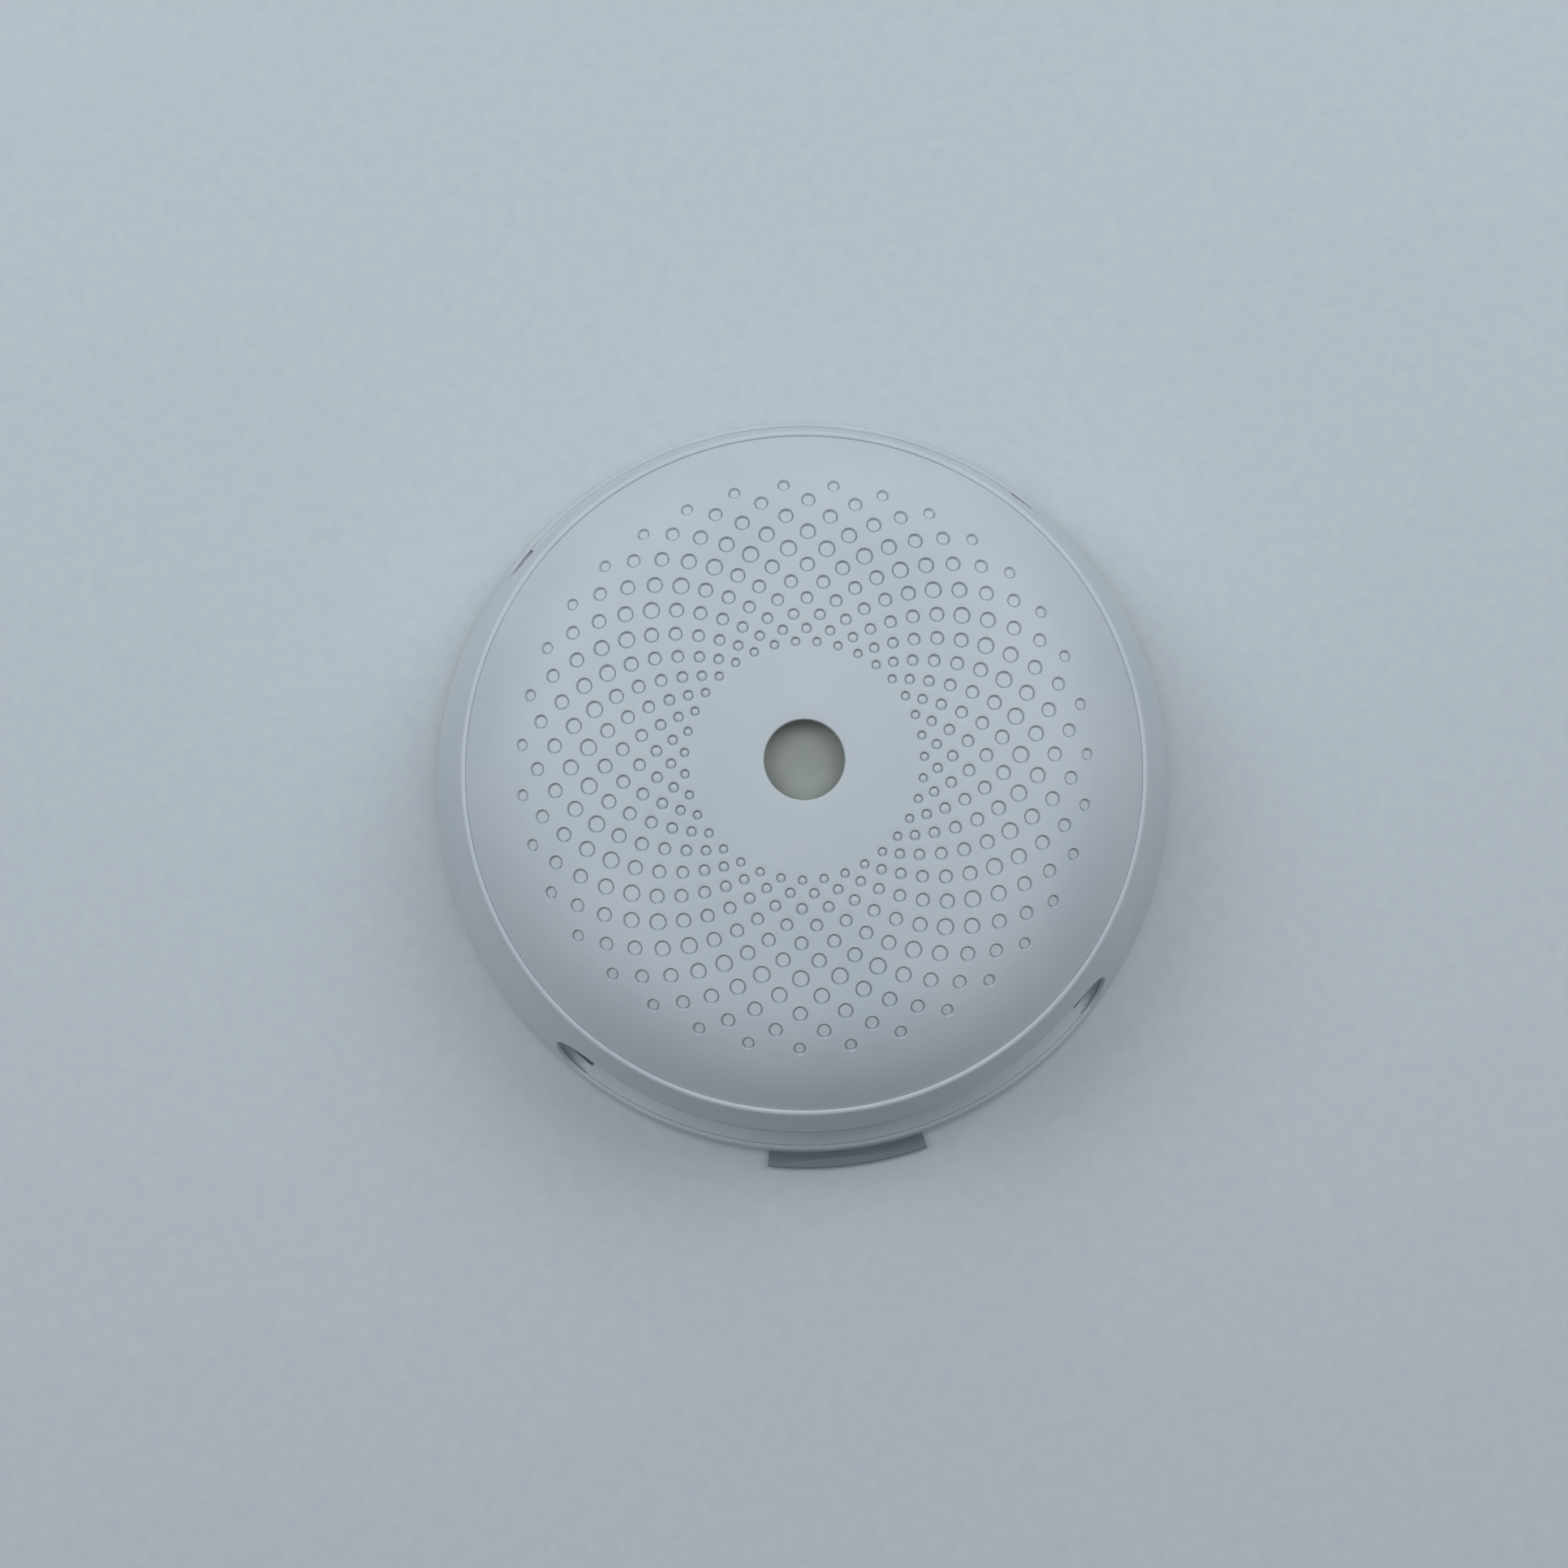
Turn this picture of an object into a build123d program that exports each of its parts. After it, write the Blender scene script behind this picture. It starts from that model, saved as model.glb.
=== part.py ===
from build123d import *
import math
import os

# A battery smoke detector on its mounting bracket, in millimetres.
# Origin: centre of the bracket's back face. +Z points into the room, -Y to the release tab.

# Outer form
CROWN_Z = 36.8              # top of the domed front cover
CROWN_RADIUS = 245.8        # shallow arc over the middle of the dome
SHOULDER_START = 34.3       # where the shallow arc turns into the shoulder
SHOULDER_RADIUS = 26.2      # rounder arc from there to the rim
CAP_R = 50.35               # edge of the front cover
CAP_WALL = 2.0
BEAD_R = 50.95              # middle of the bead round the cover
BEAD_HALF = 0.45
BEAD_Z = 25.4
FOOT_R = 60.0               # foot of the flared wall
FOOT_Z = 2.0
FOOT_LIP_R = 60.6
FOOT_LIP_TOP = 3.1
WALL = 2.3
HOLE_R = 5.85               # middle hole over the test button

# Dimples in the front cover: rings of blind round pits, each ring half a step round from the last
DIMPLES_PER_RING = 35
DIMPLE_RINGS = 11
DIMPLE_DEPTH = 0.6
FIRST_RING_R = 17.1
FIRST_RING_STEP = 1.9
RING_STEP_GROWTH = 0.24
LARGEST_RING_STEP = 2.5
WIDEST_RING = 6

# Inlet windows in the wall, one towards -Y and one towards +Y
WINDOW_ANGLES = (270, 90)
WINDOW_HALF_ANGLE = 49.2
WINDOW_BOTTOM = 3.3
WINDOW_TOP = 14.6
RAMP_HALF_ANGLE = 42.9
RAMP_TOP = 4.05

# Levels of the inner build
PLATE_TOP = 1.6             # bracket plate
LUG_BOTTOM = 2.6
LUG_TOP = 3.9
LIP_BOTTOM = 4.3
LIP_TOP = 5.5
BACK_BOTTOM = 6.0           # back housing plate
BACK_TOP = 7.4
FLANGE_BOTTOM = 20.6        # shelf in the outer housing that carries the front cover
FLANGE_TOP = 22.2
FLANGE_R = 48.2
BOARD_BOTTOM = 23.0
BOARD_TOP = 24.6
BOARD_R = 46.0

# Bayonet
BRACKET_R = 57.0
HOOK_IN = 46.0
HOOK_OUT = 48.0
LIP_R = 51.4
LUG_R = 48.6
RING_IN = 52.3
RING_OUT = 54.1
BAYONET_ANGLES = (90, 210, 330)
LIP_HALF_ANGLE = 9.0
LUG_HALF_ANGLE = 7.0

# Release tab
TAB_R = 63.3
TAB_INNER_R = 58.9
TAB_HALF_ANGLE = 11.9
TAB_BOTTOM = 0.2
TAB_TOP = 1.4
STEM_HALF = 6.5
CHANNEL_HALF = 7.0

# Screw slots of the bracket
SLOT_SPACING = 60.0
SLOT_LENGTH = 12.0
SLOT_R = 2.2
BRACKET_HOLE_R = 13.0

# Screws
CASE_SCREW_ANGLES = (25, 155, 205, 335)
CASE_SCREW_R = 48.3
BOARD_POSTS = ((-39.0, -12.0), (39.0, -12.0), (27.0, 31.5), (-36.0, 22.0))

# Smoke chamber
CHAMBER_X, CHAMBER_Y = 0.0, -23.0
CHAMBER_R = 20.5
CHAMBER_FLOOR = 8.6
CHAMBER_ROOF = 21.0
VANES = 24

# Sounder
SOUNDER_X, SOUNDER_Y = 29.0, 3.5
SOUNDER_R = 14.5
SOUNDER_TOP = 14.0
PIEZO_R = 13.5

# Battery, lying along X in its bay
BATTERY_X, BATTERY_Y, BATTERY_Z = -4.0, 27.0, 13.1
BATTERY_R = 8.5
BATTERY_LENGTH = 34.5
BAY_X = (-26.0, 18.0)
BAY_Y = (17.6, 36.4)
BAY_TOP = 21.9
BAY_WALL = 1.2

# Test button
BUTTON_R = 7.2
BUTTON_TOP = 34.5
BUTTON_BOTTOM = 32.7
STEM_R = 2.2


# ---------------------------------------------------------------- shared shapes

def cylinder(x, y, radius, z0, z1):
    """An upright cylinder between two levels."""
    return Pos(x, y, (z0 + z1) / 2) * Cylinder(radius, z1 - z0)


def tube(x, y, inner, outer, z0, z1):
    """An upright tube between two levels."""
    return cylinder(x, y, outer, z0, z1) - cylinder(x, y, inner, z0 - 1, z1 + 1)


def block(x0, x1, y0, y1, z0, z1):
    """A box between two corners."""
    return Pos((x0 + x1) / 2, (y0 + y1) / 2, (z0 + z1) / 2) * Box(x1 - x0, y1 - y0, z1 - z0)


def turned(points, half_angle=180.0, middle=0.0):
    """A profile of (radius, height) points turned about Z, all round or over a sector."""
    face = make_face(Plane.XZ * Polyline(*points, close=True))
    solid = revolve(face, Axis.Z, revolution_arc=2 * half_angle)
    return Rot(0, 0, middle - half_angle) * solid


def sector(inner, outer, z0, z1, middle, half_angle):
    """A piece of a ring, square in section."""
    points = ((inner, z0), (outer, z0), (outer, z1), (inner, z1))
    return turned(points, half_angle, middle)


def polar(radius, angle):
    """The point at a radius and an angle in degrees."""
    return radius * math.cos(math.radians(angle)), radius * math.sin(math.radians(angle))


def coil(x, y, z0, z1, radius, wire, turns):
    """A compression spring, standing between two levels."""
    height = z1 - z0 - wire
    path = Helix(pitch=height / turns, height=height, radius=radius)
    section = Plane(origin=path @ 0, z_dir=path % 0) * Circle(wire / 2)
    return Pos(x, y, z0 + wire / 2) * sweep(section, path=path, is_frenet=True)


def wall_radius(z):
    """Outer radius of the flared wall at a height."""
    run = (BEAD_Z - z) / (BEAD_Z - FOOT_Z)
    top = BEAD_R + BEAD_HALF
    return top + run * (FOOT_R - top)


# ---------------------------------------------------------------- front cover

TURN_ANGLE = math.asin(SHOULDER_START / CROWN_RADIUS)
TURN_Z = CROWN_Z - CROWN_RADIUS * (1 - math.cos(TURN_ANGLE))
SHOULDER_CENTRE_R = SHOULDER_START - SHOULDER_RADIUS * math.sin(TURN_ANGLE)
SHOULDER_CENTRE_Z = TURN_Z - SHOULDER_RADIUS * math.cos(TURN_ANGLE)


def dome_z(radius):
    """Height of the dome's outer surface at a radius."""
    if radius <= SHOULDER_START:
        return CROWN_Z - CROWN_RADIUS + math.sqrt(CROWN_RADIUS ** 2 - radius ** 2)
    offset = radius - SHOULDER_CENTRE_R
    return SHOULDER_CENTRE_Z + math.sqrt(SHOULDER_RADIUS ** 2 - offset ** 2)


def dome_normal(radius):
    """Outward normal of the dome in its radial plane, as (radial, upward)."""
    if radius <= SHOULDER_START:
        slope = math.asin(radius / CROWN_RADIUS)
    else:
        slope = math.asin((radius - SHOULDER_CENTRE_R) / SHOULDER_RADIUS)
    return math.sin(slope), math.cos(slope)


def ring_radius(ring):
    """Radius of a ring of dimples: the first few lie closer together."""
    steps = [min(LARGEST_RING_STEP, FIRST_RING_STEP + RING_STEP_GROWTH * k) for k in range(ring)]
    return FIRST_RING_R + sum(steps)


def dimple_diameter(ring):
    """Dimples grow from ring to ring, are widest in one ring and shrink again outwards."""
    if ring < WIDEST_RING:
        return 1.4 + 0.17 * ring
    if ring < DIMPLE_RINGS - 1:
        return 2.56 - 0.145 * (ring - WIDEST_RING)
    return 1.85


def dimples():
    """Cutters for all the dimples, each square to the dome where it stands."""
    cutters = []
    step = 360 / DIMPLES_PER_RING
    for ring in range(DIMPLE_RINGS):
        radius = ring_radius(ring)
        lean_out, lean_up = dome_normal(radius)
        start = step / 2 if ring % 2 == 0 else 0
        cutter = Cylinder(dimple_diameter(ring) / 2, 2 * DIMPLE_DEPTH)
        for k in range(DIMPLES_PER_RING):
            angle = start + k * step
            x, y = polar(radius, angle)
            nx, ny = polar(lean_out, angle)
            spot = Plane(origin=(x, y, dome_z(radius)), z_dir=(nx, ny, lean_up))
            cutters.append(spot * cutter)
    return cutters


def front_cap():
    """Domed cover with skirt, button guide and four snap hooks."""
    inner_shoulder = SHOULDER_RADIUS - CAP_WALL
    skirt_in = CAP_R - 1.75
    top = Plane.XZ * ThreePointArc(
        (0, CROWN_Z),
        (SHOULDER_START / 2, dome_z(SHOULDER_START / 2)),
        (SHOULDER_START, TURN_Z),
    )
    shoulder_mid = (SHOULDER_START + CAP_R) / 2
    shoulder = Plane.XZ * ThreePointArc(
        (SHOULDER_START, TURN_Z), (shoulder_mid, dome_z(shoulder_mid)), (CAP_R, dome_z(CAP_R))
    )
    inner_crown = CROWN_RADIUS - CAP_WALL
    turn_r = inner_crown * math.sin(TURN_ANGLE)
    turn_z = CROWN_Z - CROWN_RADIUS + inner_crown * math.cos(TURN_ANGLE)
    half_r = inner_crown * math.sin(TURN_ANGLE / 2)
    half_z = CROWN_Z - CROWN_RADIUS + inner_crown * math.cos(TURN_ANGLE / 2)

    def inner_z(radius):
        return SHOULDER_CENTRE_Z + math.sqrt(inner_shoulder ** 2 - (radius - SHOULDER_CENTRE_R) ** 2)

    middle = (turn_r + skirt_in) / 2
    below = Plane.XZ * ThreePointArc(
        (skirt_in, inner_z(skirt_in)), (middle, inner_z(middle)), (turn_r, turn_z)
    )
    under = Plane.XZ * ThreePointArc((turn_r, turn_z), (half_r, half_z), (0, CROWN_Z - CAP_WALL))
    skirt = Plane.XZ * Polyline(
        (CAP_R, dome_z(CAP_R)), (CAP_R, FLANGE_TOP), (skirt_in, FLANGE_TOP), (skirt_in, inner_z(skirt_in))
    )
    axis_line = Plane.XZ * Line((0, CROWN_Z - CAP_WALL), (0, CROWN_Z))
    outline = Wire([*top.edges(), *shoulder.edges(), *skirt.edges(), *below.edges(),
                    *under.edges(), *axis_line.edges()])
    cap = revolve(make_face(outline), Axis.Z)
    cap = cap + tube(0, 0, 7.6, 8.8, 31.2, CROWN_Z - CAP_WALL)
    rim = [e for e in cap.edges().filter_by(GeomType.CIRCLE)
           if abs(e.radius - CAP_R) < 0.01 and e.center().Z > FLANGE_TOP + 1]
    cap = fillet(rim, 0.35)
    cap = cap - cylinder(0, 0, HOLE_R, 30, 40)
    mouth = [e for e in cap.edges() if abs(e.bounding_box().size.X - 2 * HOLE_R) < 0.02
             and e.center().Z > CROWN_Z - 1]
    cap = fillet(mouth, 0.4)
    cap = cap - dimples()
    for angle in (0, 90, 180, 270):
        cap = cap + sector(46.9, 49.2, FLANGE_TOP + 0.2, 24.6, angle, 4.8)
        cap = cap + sector(46.9, 48.0, 19.4, FLANGE_TOP + 0.3, angle, 4.8)
        barb = ((47.9, 19.4), (48.2, 19.4), (49.0, 20.1), (49.0, 20.4), (47.9, 20.4))
        cap = cap + turned(barb, 4.8, angle)
    return cap


# ---------------------------------------------------------------- outer housing

def window(middle):
    """Cutter for a long inlet window with round ends, driven radially through the wall."""
    radius = (WINDOW_TOP - WINDOW_BOTTOM) / 2
    height = (WINDOW_TOP + WINDOW_BOTTOM) / 2
    end_angle = WINDOW_HALF_ANGLE - math.degrees(radius / wall_radius(height))
    cutter = sector(52, 64, WINDOW_BOTTOM, WINDOW_TOP, middle, end_angle)
    for side in (-1, 1):
        x, y = polar(58, middle + side * end_angle)
        spot = Plane(origin=(x, y, height), z_dir=(x, y, 0))
        cutter = cutter + spot * Cylinder(radius, 14)
    return cutter


def outer_housing():
    """Flared wall with its bead, foot lip, cover shelf, two windows and four screw posts."""
    bead_in = BEAD_R - BEAD_HALF
    bead_out = BEAD_R + BEAD_HALF
    bead = Plane.XZ * ThreePointArc(
        (bead_out, BEAD_Z), (BEAD_R, BEAD_Z + BEAD_HALF), (bead_in, BEAD_Z)
    )
    rest = Plane.XZ * Polyline(
        (bead_in, BEAD_Z),
        (bead_in, FLANGE_TOP),
        (FLANGE_R, FLANGE_TOP),
        (FLANGE_R, FLANGE_BOTTOM),
        (wall_radius(FLANGE_BOTTOM) - WALL, FLANGE_BOTTOM),
        (FOOT_R - WALL, FOOT_Z),
        (FOOT_LIP_R - 0.3, FOOT_Z),
        (FOOT_LIP_R, FOOT_Z + 0.3),
        (FOOT_LIP_R, FOOT_LIP_TOP - 0.3),
        (FOOT_LIP_R - 0.3, FOOT_LIP_TOP),
        (wall_radius(FOOT_LIP_TOP), FOOT_LIP_TOP),
        (bead_out, BEAD_Z),
    )
    housing = revolve(make_face(Wire([*bead.edges(), *rest.edges()])), Axis.Z)
    for angle in CASE_SCREW_ANGLES:
        x, y = polar(CASE_SCREW_R, angle)
        post = cylinder(x, y, 3.2, 9.3, FLANGE_BOTTOM + 0.5)
        web = sector(CASE_SCREW_R, wall_radius(20) - 1, 9.3, FLANGE_BOTTOM + 0.5, angle, 1.2)
        housing = housing + post + web
        housing = housing - cylinder(x, y, 1.1, 9, 17)
    for angle in WINDOW_ANGLES:
        housing = housing - window(angle)
    return housing


def inlet_ramps():
    """Two curved scoops behind the windows: a flat sill, then a slope up onto the back plate."""
    seat = RING_OUT + 0.6
    sill_in = wall_radius(RAMP_TOP) - WALL + 0.2
    lip = wall_radius(RAMP_TOP) - 0.1
    points = (
        (seat, WINDOW_BOTTOM + 0.05),
        (lip, WINDOW_BOTTOM + 0.05),
        (lip, RAMP_TOP),
        (sill_in, RAMP_TOP + 0.25),
        (seat, BACK_TOP + 0.8),
        (seat - 1.9, BACK_TOP + 0.8),
        (seat - 1.9, BACK_TOP),
        (seat, BACK_TOP),
    )
    return [turned(points, RAMP_HALF_ANGLE, angle) for angle in WINDOW_ANGLES]


# ---------------------------------------------------------------- back housing

def battery_bay():
    """Box over the battery, open to the back, with slots for the contacts."""
    outer = block(BAY_X[0] - BAY_WALL, BAY_X[1] + BAY_WALL, BAY_Y[0] - BAY_WALL, BAY_Y[1] + BAY_WALL,
                  BACK_BOTTOM, BAY_TOP + 0.9)
    return outer, block(BAY_X[0], BAY_X[1], BAY_Y[0], BAY_Y[1], 0, BAY_TOP)


def back_housing():
    """Rear plate with bayonet ring and lugs, battery bay, board posts and screw bosses."""
    rim_r = 55.6
    housing = cylinder(0, 0, rim_r, BACK_BOTTOM, BACK_TOP)
    for angle in WINDOW_ANGLES:
        housing = housing - sector(RING_OUT + 0.4, 60, 5, 9, angle, RAMP_HALF_ANGLE + 1.5)
    housing = housing + tube(0, 0, RING_IN, RING_OUT, LUG_BOTTOM, BACK_BOTTOM + 0.4)
    for angle in BAYONET_ANGLES:
        housing = housing + sector(LUG_R, RING_IN + 0.5, LUG_BOTTOM, LUG_TOP, angle, LUG_HALF_ANGLE)
    housing = housing + sector(49.3, RING_IN + 0.5, LUG_BOTTOM, BACK_BOTTOM + 0.4, 275.6, 1.5)
    bay, hollow = battery_bay()
    housing = housing + bay
    for x, y in BOARD_POSTS:
        housing = housing + cylinder(x, y, 3.0, BACK_TOP - 0.4, BOARD_BOTTOM)
        housing = housing - cylinder(x, y, 0.9, 14, BOARD_BOTTOM + 1)
    housing = housing - hollow
    for angle in CASE_SCREW_ANGLES:
        x, y = polar(CASE_SCREW_R, angle)
        housing = housing + cylinder(x, y, 3.9, BACK_TOP - 0.4, 9.2)
        housing = housing - cylinder(x, y, 2.9, BACK_BOTTOM - 1, 8.0)
        housing = housing - cylinder(x, y, 1.6, 7, 10)
    return housing


def screw(x, y, under_head, tip, shank_r, head_r, head_h):
    """Pan-head screw with a cross recess; the head may point either way."""
    way = 1 if under_head > tip else -1
    low, high = sorted((under_head, tip))
    head_low, head_high = sorted((under_head, under_head + way * head_h))
    body = cylinder(x, y, shank_r, low, high) + cylinder(x, y, head_r, head_low, head_high)
    crown = [e for e in body.edges().filter_by(GeomType.CIRCLE)
             if abs(e.radius - head_r) < 0.01 and abs(e.center().Z - (under_head + way * head_h)) < 0.01]
    body = fillet(crown, head_h * 0.45)
    end = under_head + way * head_h
    low, high = sorted((end - way * head_h * 0.55, end + way))
    arm = head_r * 0.6
    body = body - block(x - arm, x + arm, y - arm / 4, y + arm / 4, low, high)
    return body - block(x - arm / 4, x + arm / 4, y - arm, y + arm, low, high)


def case_screws():
    """Four screws from the back into the outer housing's posts."""
    spots = [polar(CASE_SCREW_R, angle) for angle in CASE_SCREW_ANGLES]
    return [screw(x, y, 8.0, 16.0, 1.05, 2.6, 1.7) for x, y in spots]


# ---------------------------------------------------------------- bracket and release tab

def slot_cutter(x, y, along_x):
    """Cutter for one screw slot."""
    reach = SLOT_LENGTH / 2 - SLOT_R
    dx, dy = (reach, 0) if along_x else (0, reach)
    ends = cylinder(x - dx, y - dy, SLOT_R, -1, 4) + cylinder(x + dx, y + dy, SLOT_R, -1, 4)
    wide, tall = (reach, SLOT_R) if along_x else (SLOT_R, reach)
    return ends + block(x - wide, x + wide, y - tall, y + tall, -1, 4)


def mounting_bracket():
    """Round plate with bayonet lips, screw slots, stiffening rings and the tab's channel."""
    plate = cylinder(0, 0, BRACKET_R, 0, PLATE_TOP)
    plate = plate + tube(0, 0, BRACKET_HOLE_R, BRACKET_HOLE_R + 1.6, 0, 3.4)
    plate = plate + tube(0, 0, 40.2, 41.6, 0, 2.9)
    for angle in BAYONET_ANGLES:
        plate = plate + sector(HOOK_IN, HOOK_OUT, 1, LIP_TOP, angle, LIP_HALF_ANGLE)
        plate = plate + sector(HOOK_IN, LIP_R, LIP_BOTTOM, LIP_TOP, angle, LIP_HALF_ANGLE)
        # the mould reaches the underside of each lip through an opening in the plate
        plate = plate - sector(HOOK_OUT, LIP_R + 0.4, -1, 2, angle, LIP_HALF_ANGLE - 0.5)
    # channel for the release tab, with the wall its springs push on and a strap over its stem
    plate = plate + block(-9.0, 9.0, -41.0, -37.0, 0, 4.6)
    plate = plate - block(-CHANNEL_HALF, CHANNEL_HALF, -58, -38.5, -1, 6)
    plate = plate + block(-CHANNEL_HALF - 0.5, CHANNEL_HALF + 0.5, -55.2, -53.2, PLATE_TOP + 0.1, 2.3)
    for side in (-1, 1):
        inner, outer = sorted((side * CHANNEL_HALF, side * (CHANNEL_HALF + 1.4)))
        plate = plate + block(inner, outer, -55.2, -40.0, 0.5, 2.3)
    plate = plate - cylinder(0, 0, BRACKET_HOLE_R, -1, 5)
    for side in (-1, 1):
        plate = plate - slot_cutter(side * SLOT_SPACING / 2, 0, True)
        plate = plate - slot_cutter(0, side * SLOT_SPACING / 2, False)
    return plate


def release_tab():
    """Finger pad under the wall's foot, on a flat stem with a stop tooth and a spring wall."""
    pad = turned(
        (
            (TAB_INNER_R, TAB_BOTTOM),
            (TAB_R - 0.3, TAB_BOTTOM),
            (TAB_R, TAB_BOTTOM + 0.3),
            (TAB_R, 1.3),
            (TAB_R - 0.3, 1.6),
            (TAB_R - 1.6, 1.6),
            (TAB_R - 2.0, 1.0),
            (TAB_INNER_R, 1.0),
        ),
        TAB_HALF_ANGLE,
        270,
    )
    stem = block(-STEM_HALF, STEM_HALF, -TAB_INNER_R - 0.6, -43.6, TAB_BOTTOM, TAB_TOP)
    stem = stem - block(-3.0, 3.0, -49.0, -45.4, -1, 3)
    tooth = block(-3.0, 3.0, -51.2, -49.3, TAB_TOP - 0.4, 4.4)
    spring_wall = block(-STEM_HALF, STEM_HALF, -44.8, -43.6, TAB_BOTTOM, 4.4)
    return pad + stem + tooth + spring_wall


def release_springs():
    """Two small compression springs behind the tab, lying along Y."""
    springs = []
    for x in (-4.0, 4.0):
        upright = coil(0, 0, 0, 5.0, 1.15, 0.35, 5)
        springs.append(Pos(x, -43.55, 2.5) * Rot(-90, 0, 0) * upright)
    return springs


# ---------------------------------------------------------------- circuit board

def circuit_board():
    """Round board carried on the four posts."""
    board = cylinder(0, 0, BOARD_R, BOARD_BOTTOM, BOARD_TOP)
    for x, y in BOARD_POSTS:
        board = board - cylinder(x, y, 1.3, BOARD_BOTTOM - 1, BOARD_TOP + 1)
    return board


def board_screws():
    """Four screws that hold the board on its posts."""
    return [screw(x, y, BOARD_TOP, 16.0, 0.85, 2.2, 1.5) for x, y in BOARD_POSTS]


def chip(x, y, length, width, pins):
    """Flat chip with a row of legs along both long sides."""
    body = block(x - length / 2, x + length / 2, y - width / 2, y + width / 2, BOARD_TOP + 0.15, BOARD_TOP + 1.65)
    pitch = length / pins
    for k in range(pins):
        leg = x - length / 2 + (k + 0.5) * pitch
        body = body + block(leg - 0.2, leg + 0.2, y - width / 2 - 1.0, y + width / 2 + 1.0,
                            BOARD_TOP, BOARD_TOP + 0.35)
    return body


def controller_chip():
    """Main controller."""
    return chip(-19.0, -9.0, 10.0, 5.4, 8)


def capacitors():
    """Three upright electrolytic capacitors."""
    cans = []
    for x, y, radius, height in ((-22, 10, 3.15, 7.0), (-14, 15, 3.15, 7.0), (17, 17, 4.0, 7.4)):
        can = cylinder(x, y, radius, BOARD_TOP, BOARD_TOP + height)
        top = can.edges().filter_by(GeomType.CIRCLE).sort_by(Axis.Z)[-1]
        can = fillet(top, 0.4)
        groove = tube(x, y, radius - 0.25, radius + 1, BOARD_TOP + 1.2, BOARD_TOP + 1.7)
        cans.append(can - groove)
    return cans


def board_components():
    """Small ceramic parts in rows and the driver coil of the sounder."""
    parts = []
    for row in range(3):
        for k in range(6):
            x = -30 + 3.6 * k
            y = -24 - 4.2 * row
            parts.append(block(x - 1.0, x + 1.0, y - 0.6, y + 0.6, BOARD_TOP, BOARD_TOP + 0.7))
    for k in range(5):
        x = 16 + 3.8 * k
        parts.append(block(x - 1.2, x + 1.2, -23.3, -21.7, BOARD_TOP, BOARD_TOP + 0.9))
    coil_base = block(21, 28, -4.5, 2.5, BOARD_TOP, BOARD_TOP + 4.5)
    parts.append(fillet(coil_base.edges().filter_by(Axis.Z), 1.5))
    return parts


def tactile_switch():
    """Square push switch under the test button."""
    body = block(-3, 3, -3, 3, BOARD_TOP, BOARD_TOP + 2.4)
    return body + cylinder(0, 0, 1.7, BOARD_TOP + 2.4, BOARD_TOP + 3.0)


def button_guide():
    """Turret round the switch that guides the button's stem and carries its spring."""
    turret = tube(0, 0, 4.7, 6.0, BOARD_TOP, 29.6)
    return turret + tube(0, 0, STEM_R + 0.3, 5.2, 28.7, 29.6)


def status_led():
    """Small indicator lamp that shines up through the button."""
    lamp = cylinder(8.0, 0, 1.5, BOARD_TOP, 28.6) + cylinder(8.0, 0, 1.8, BOARD_TOP, 25.4)
    return lamp + Pos(8.0, 0, 28.6) * Sphere(1.5)


# ---------------------------------------------------------------- test button

def test_button():
    """Translucent disc behind the cover's hole, with a stem down to the switch."""
    disc = cylinder(0, 0, BUTTON_R, BUTTON_BOTTOM, BUTTON_TOP)
    rim = disc.edges().filter_by(GeomType.CIRCLE).sort_by(Axis.Z)[-1]
    return fillet(rim, 0.5) + cylinder(0, 0, STEM_R, 28.5, BUTTON_BOTTOM + 0.3)


def button_spring():
    """Return spring between the turret and the button."""
    return coil(0, 0, 29.65, BUTTON_BOTTOM - 0.05, 3.7, 0.45, 3)


# ---------------------------------------------------------------- smoke chamber

def chamber_cylinder(radius, z0, z1):
    return cylinder(CHAMBER_X, CHAMBER_Y, radius, z0, z1)


def lamp_seat(angle):
    """Place of a lamp that looks at the middle of the chamber from one side."""
    x, y = polar(10.8, angle)
    return Plane(origin=(CHAMBER_X + x, CHAMBER_Y + y, 15.5), z_dir=(-x, -y, 0))


def smoke_chamber_base():
    """Black roof of the chamber against the board, with holders for both lamps."""
    base = chamber_cylinder(CHAMBER_R + 1.2, CHAMBER_ROOF, BOARD_BOTTOM)
    for angle in (200, 340):
        seat = lamp_seat(angle)
        x, y = polar(10.0, angle)
        holder = Pos(CHAMBER_X + x, CHAMBER_Y + y, 0) * Rot(0, 0, angle)
        base = base + holder * block(-4.0, 4.0, -3.9, 3.9, 11.6, CHAMBER_ROOF + 0.5)
        base = base - seat * Cylinder(2.9, 30)
    return base


def smoke_chamber_cover():
    """Black floor with a ring of bent vanes that let air in and keep light out."""
    cover = chamber_cylinder(CHAMBER_R, CHAMBER_FLOOR, CHAMBER_FLOOR + 1.2)
    for k in range(VANES):
        turn = Pos(CHAMBER_X, CHAMBER_Y, 0) * Rot(0, 0, k * 360 / VANES)
        outer = Pos(18.8, 0.0, 0) * Rot(0, 0, 40) * block(-1.9, 1.9, -0.35, 0.35, CHAMBER_FLOOR + 1, 20.9)
        inner = Pos(16.2, 0.0, 0) * Rot(0, 0, -40) * block(-1.9, 1.9, -0.35, 0.35, CHAMBER_FLOOR + 1, 20.9)
        cover = cover + turn * (outer + inner)
    keep = chamber_cylinder(CHAMBER_R, CHAMBER_FLOOR, CHAMBER_ROOF)
    return cover & keep


def insect_screen():
    """Fine metal gauze round the vanes, as a thin plain band."""
    return tube(CHAMBER_X, CHAMBER_Y, CHAMBER_R + 0.15, CHAMBER_R + 0.4, CHAMBER_FLOOR, CHAMBER_ROOF)


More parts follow.
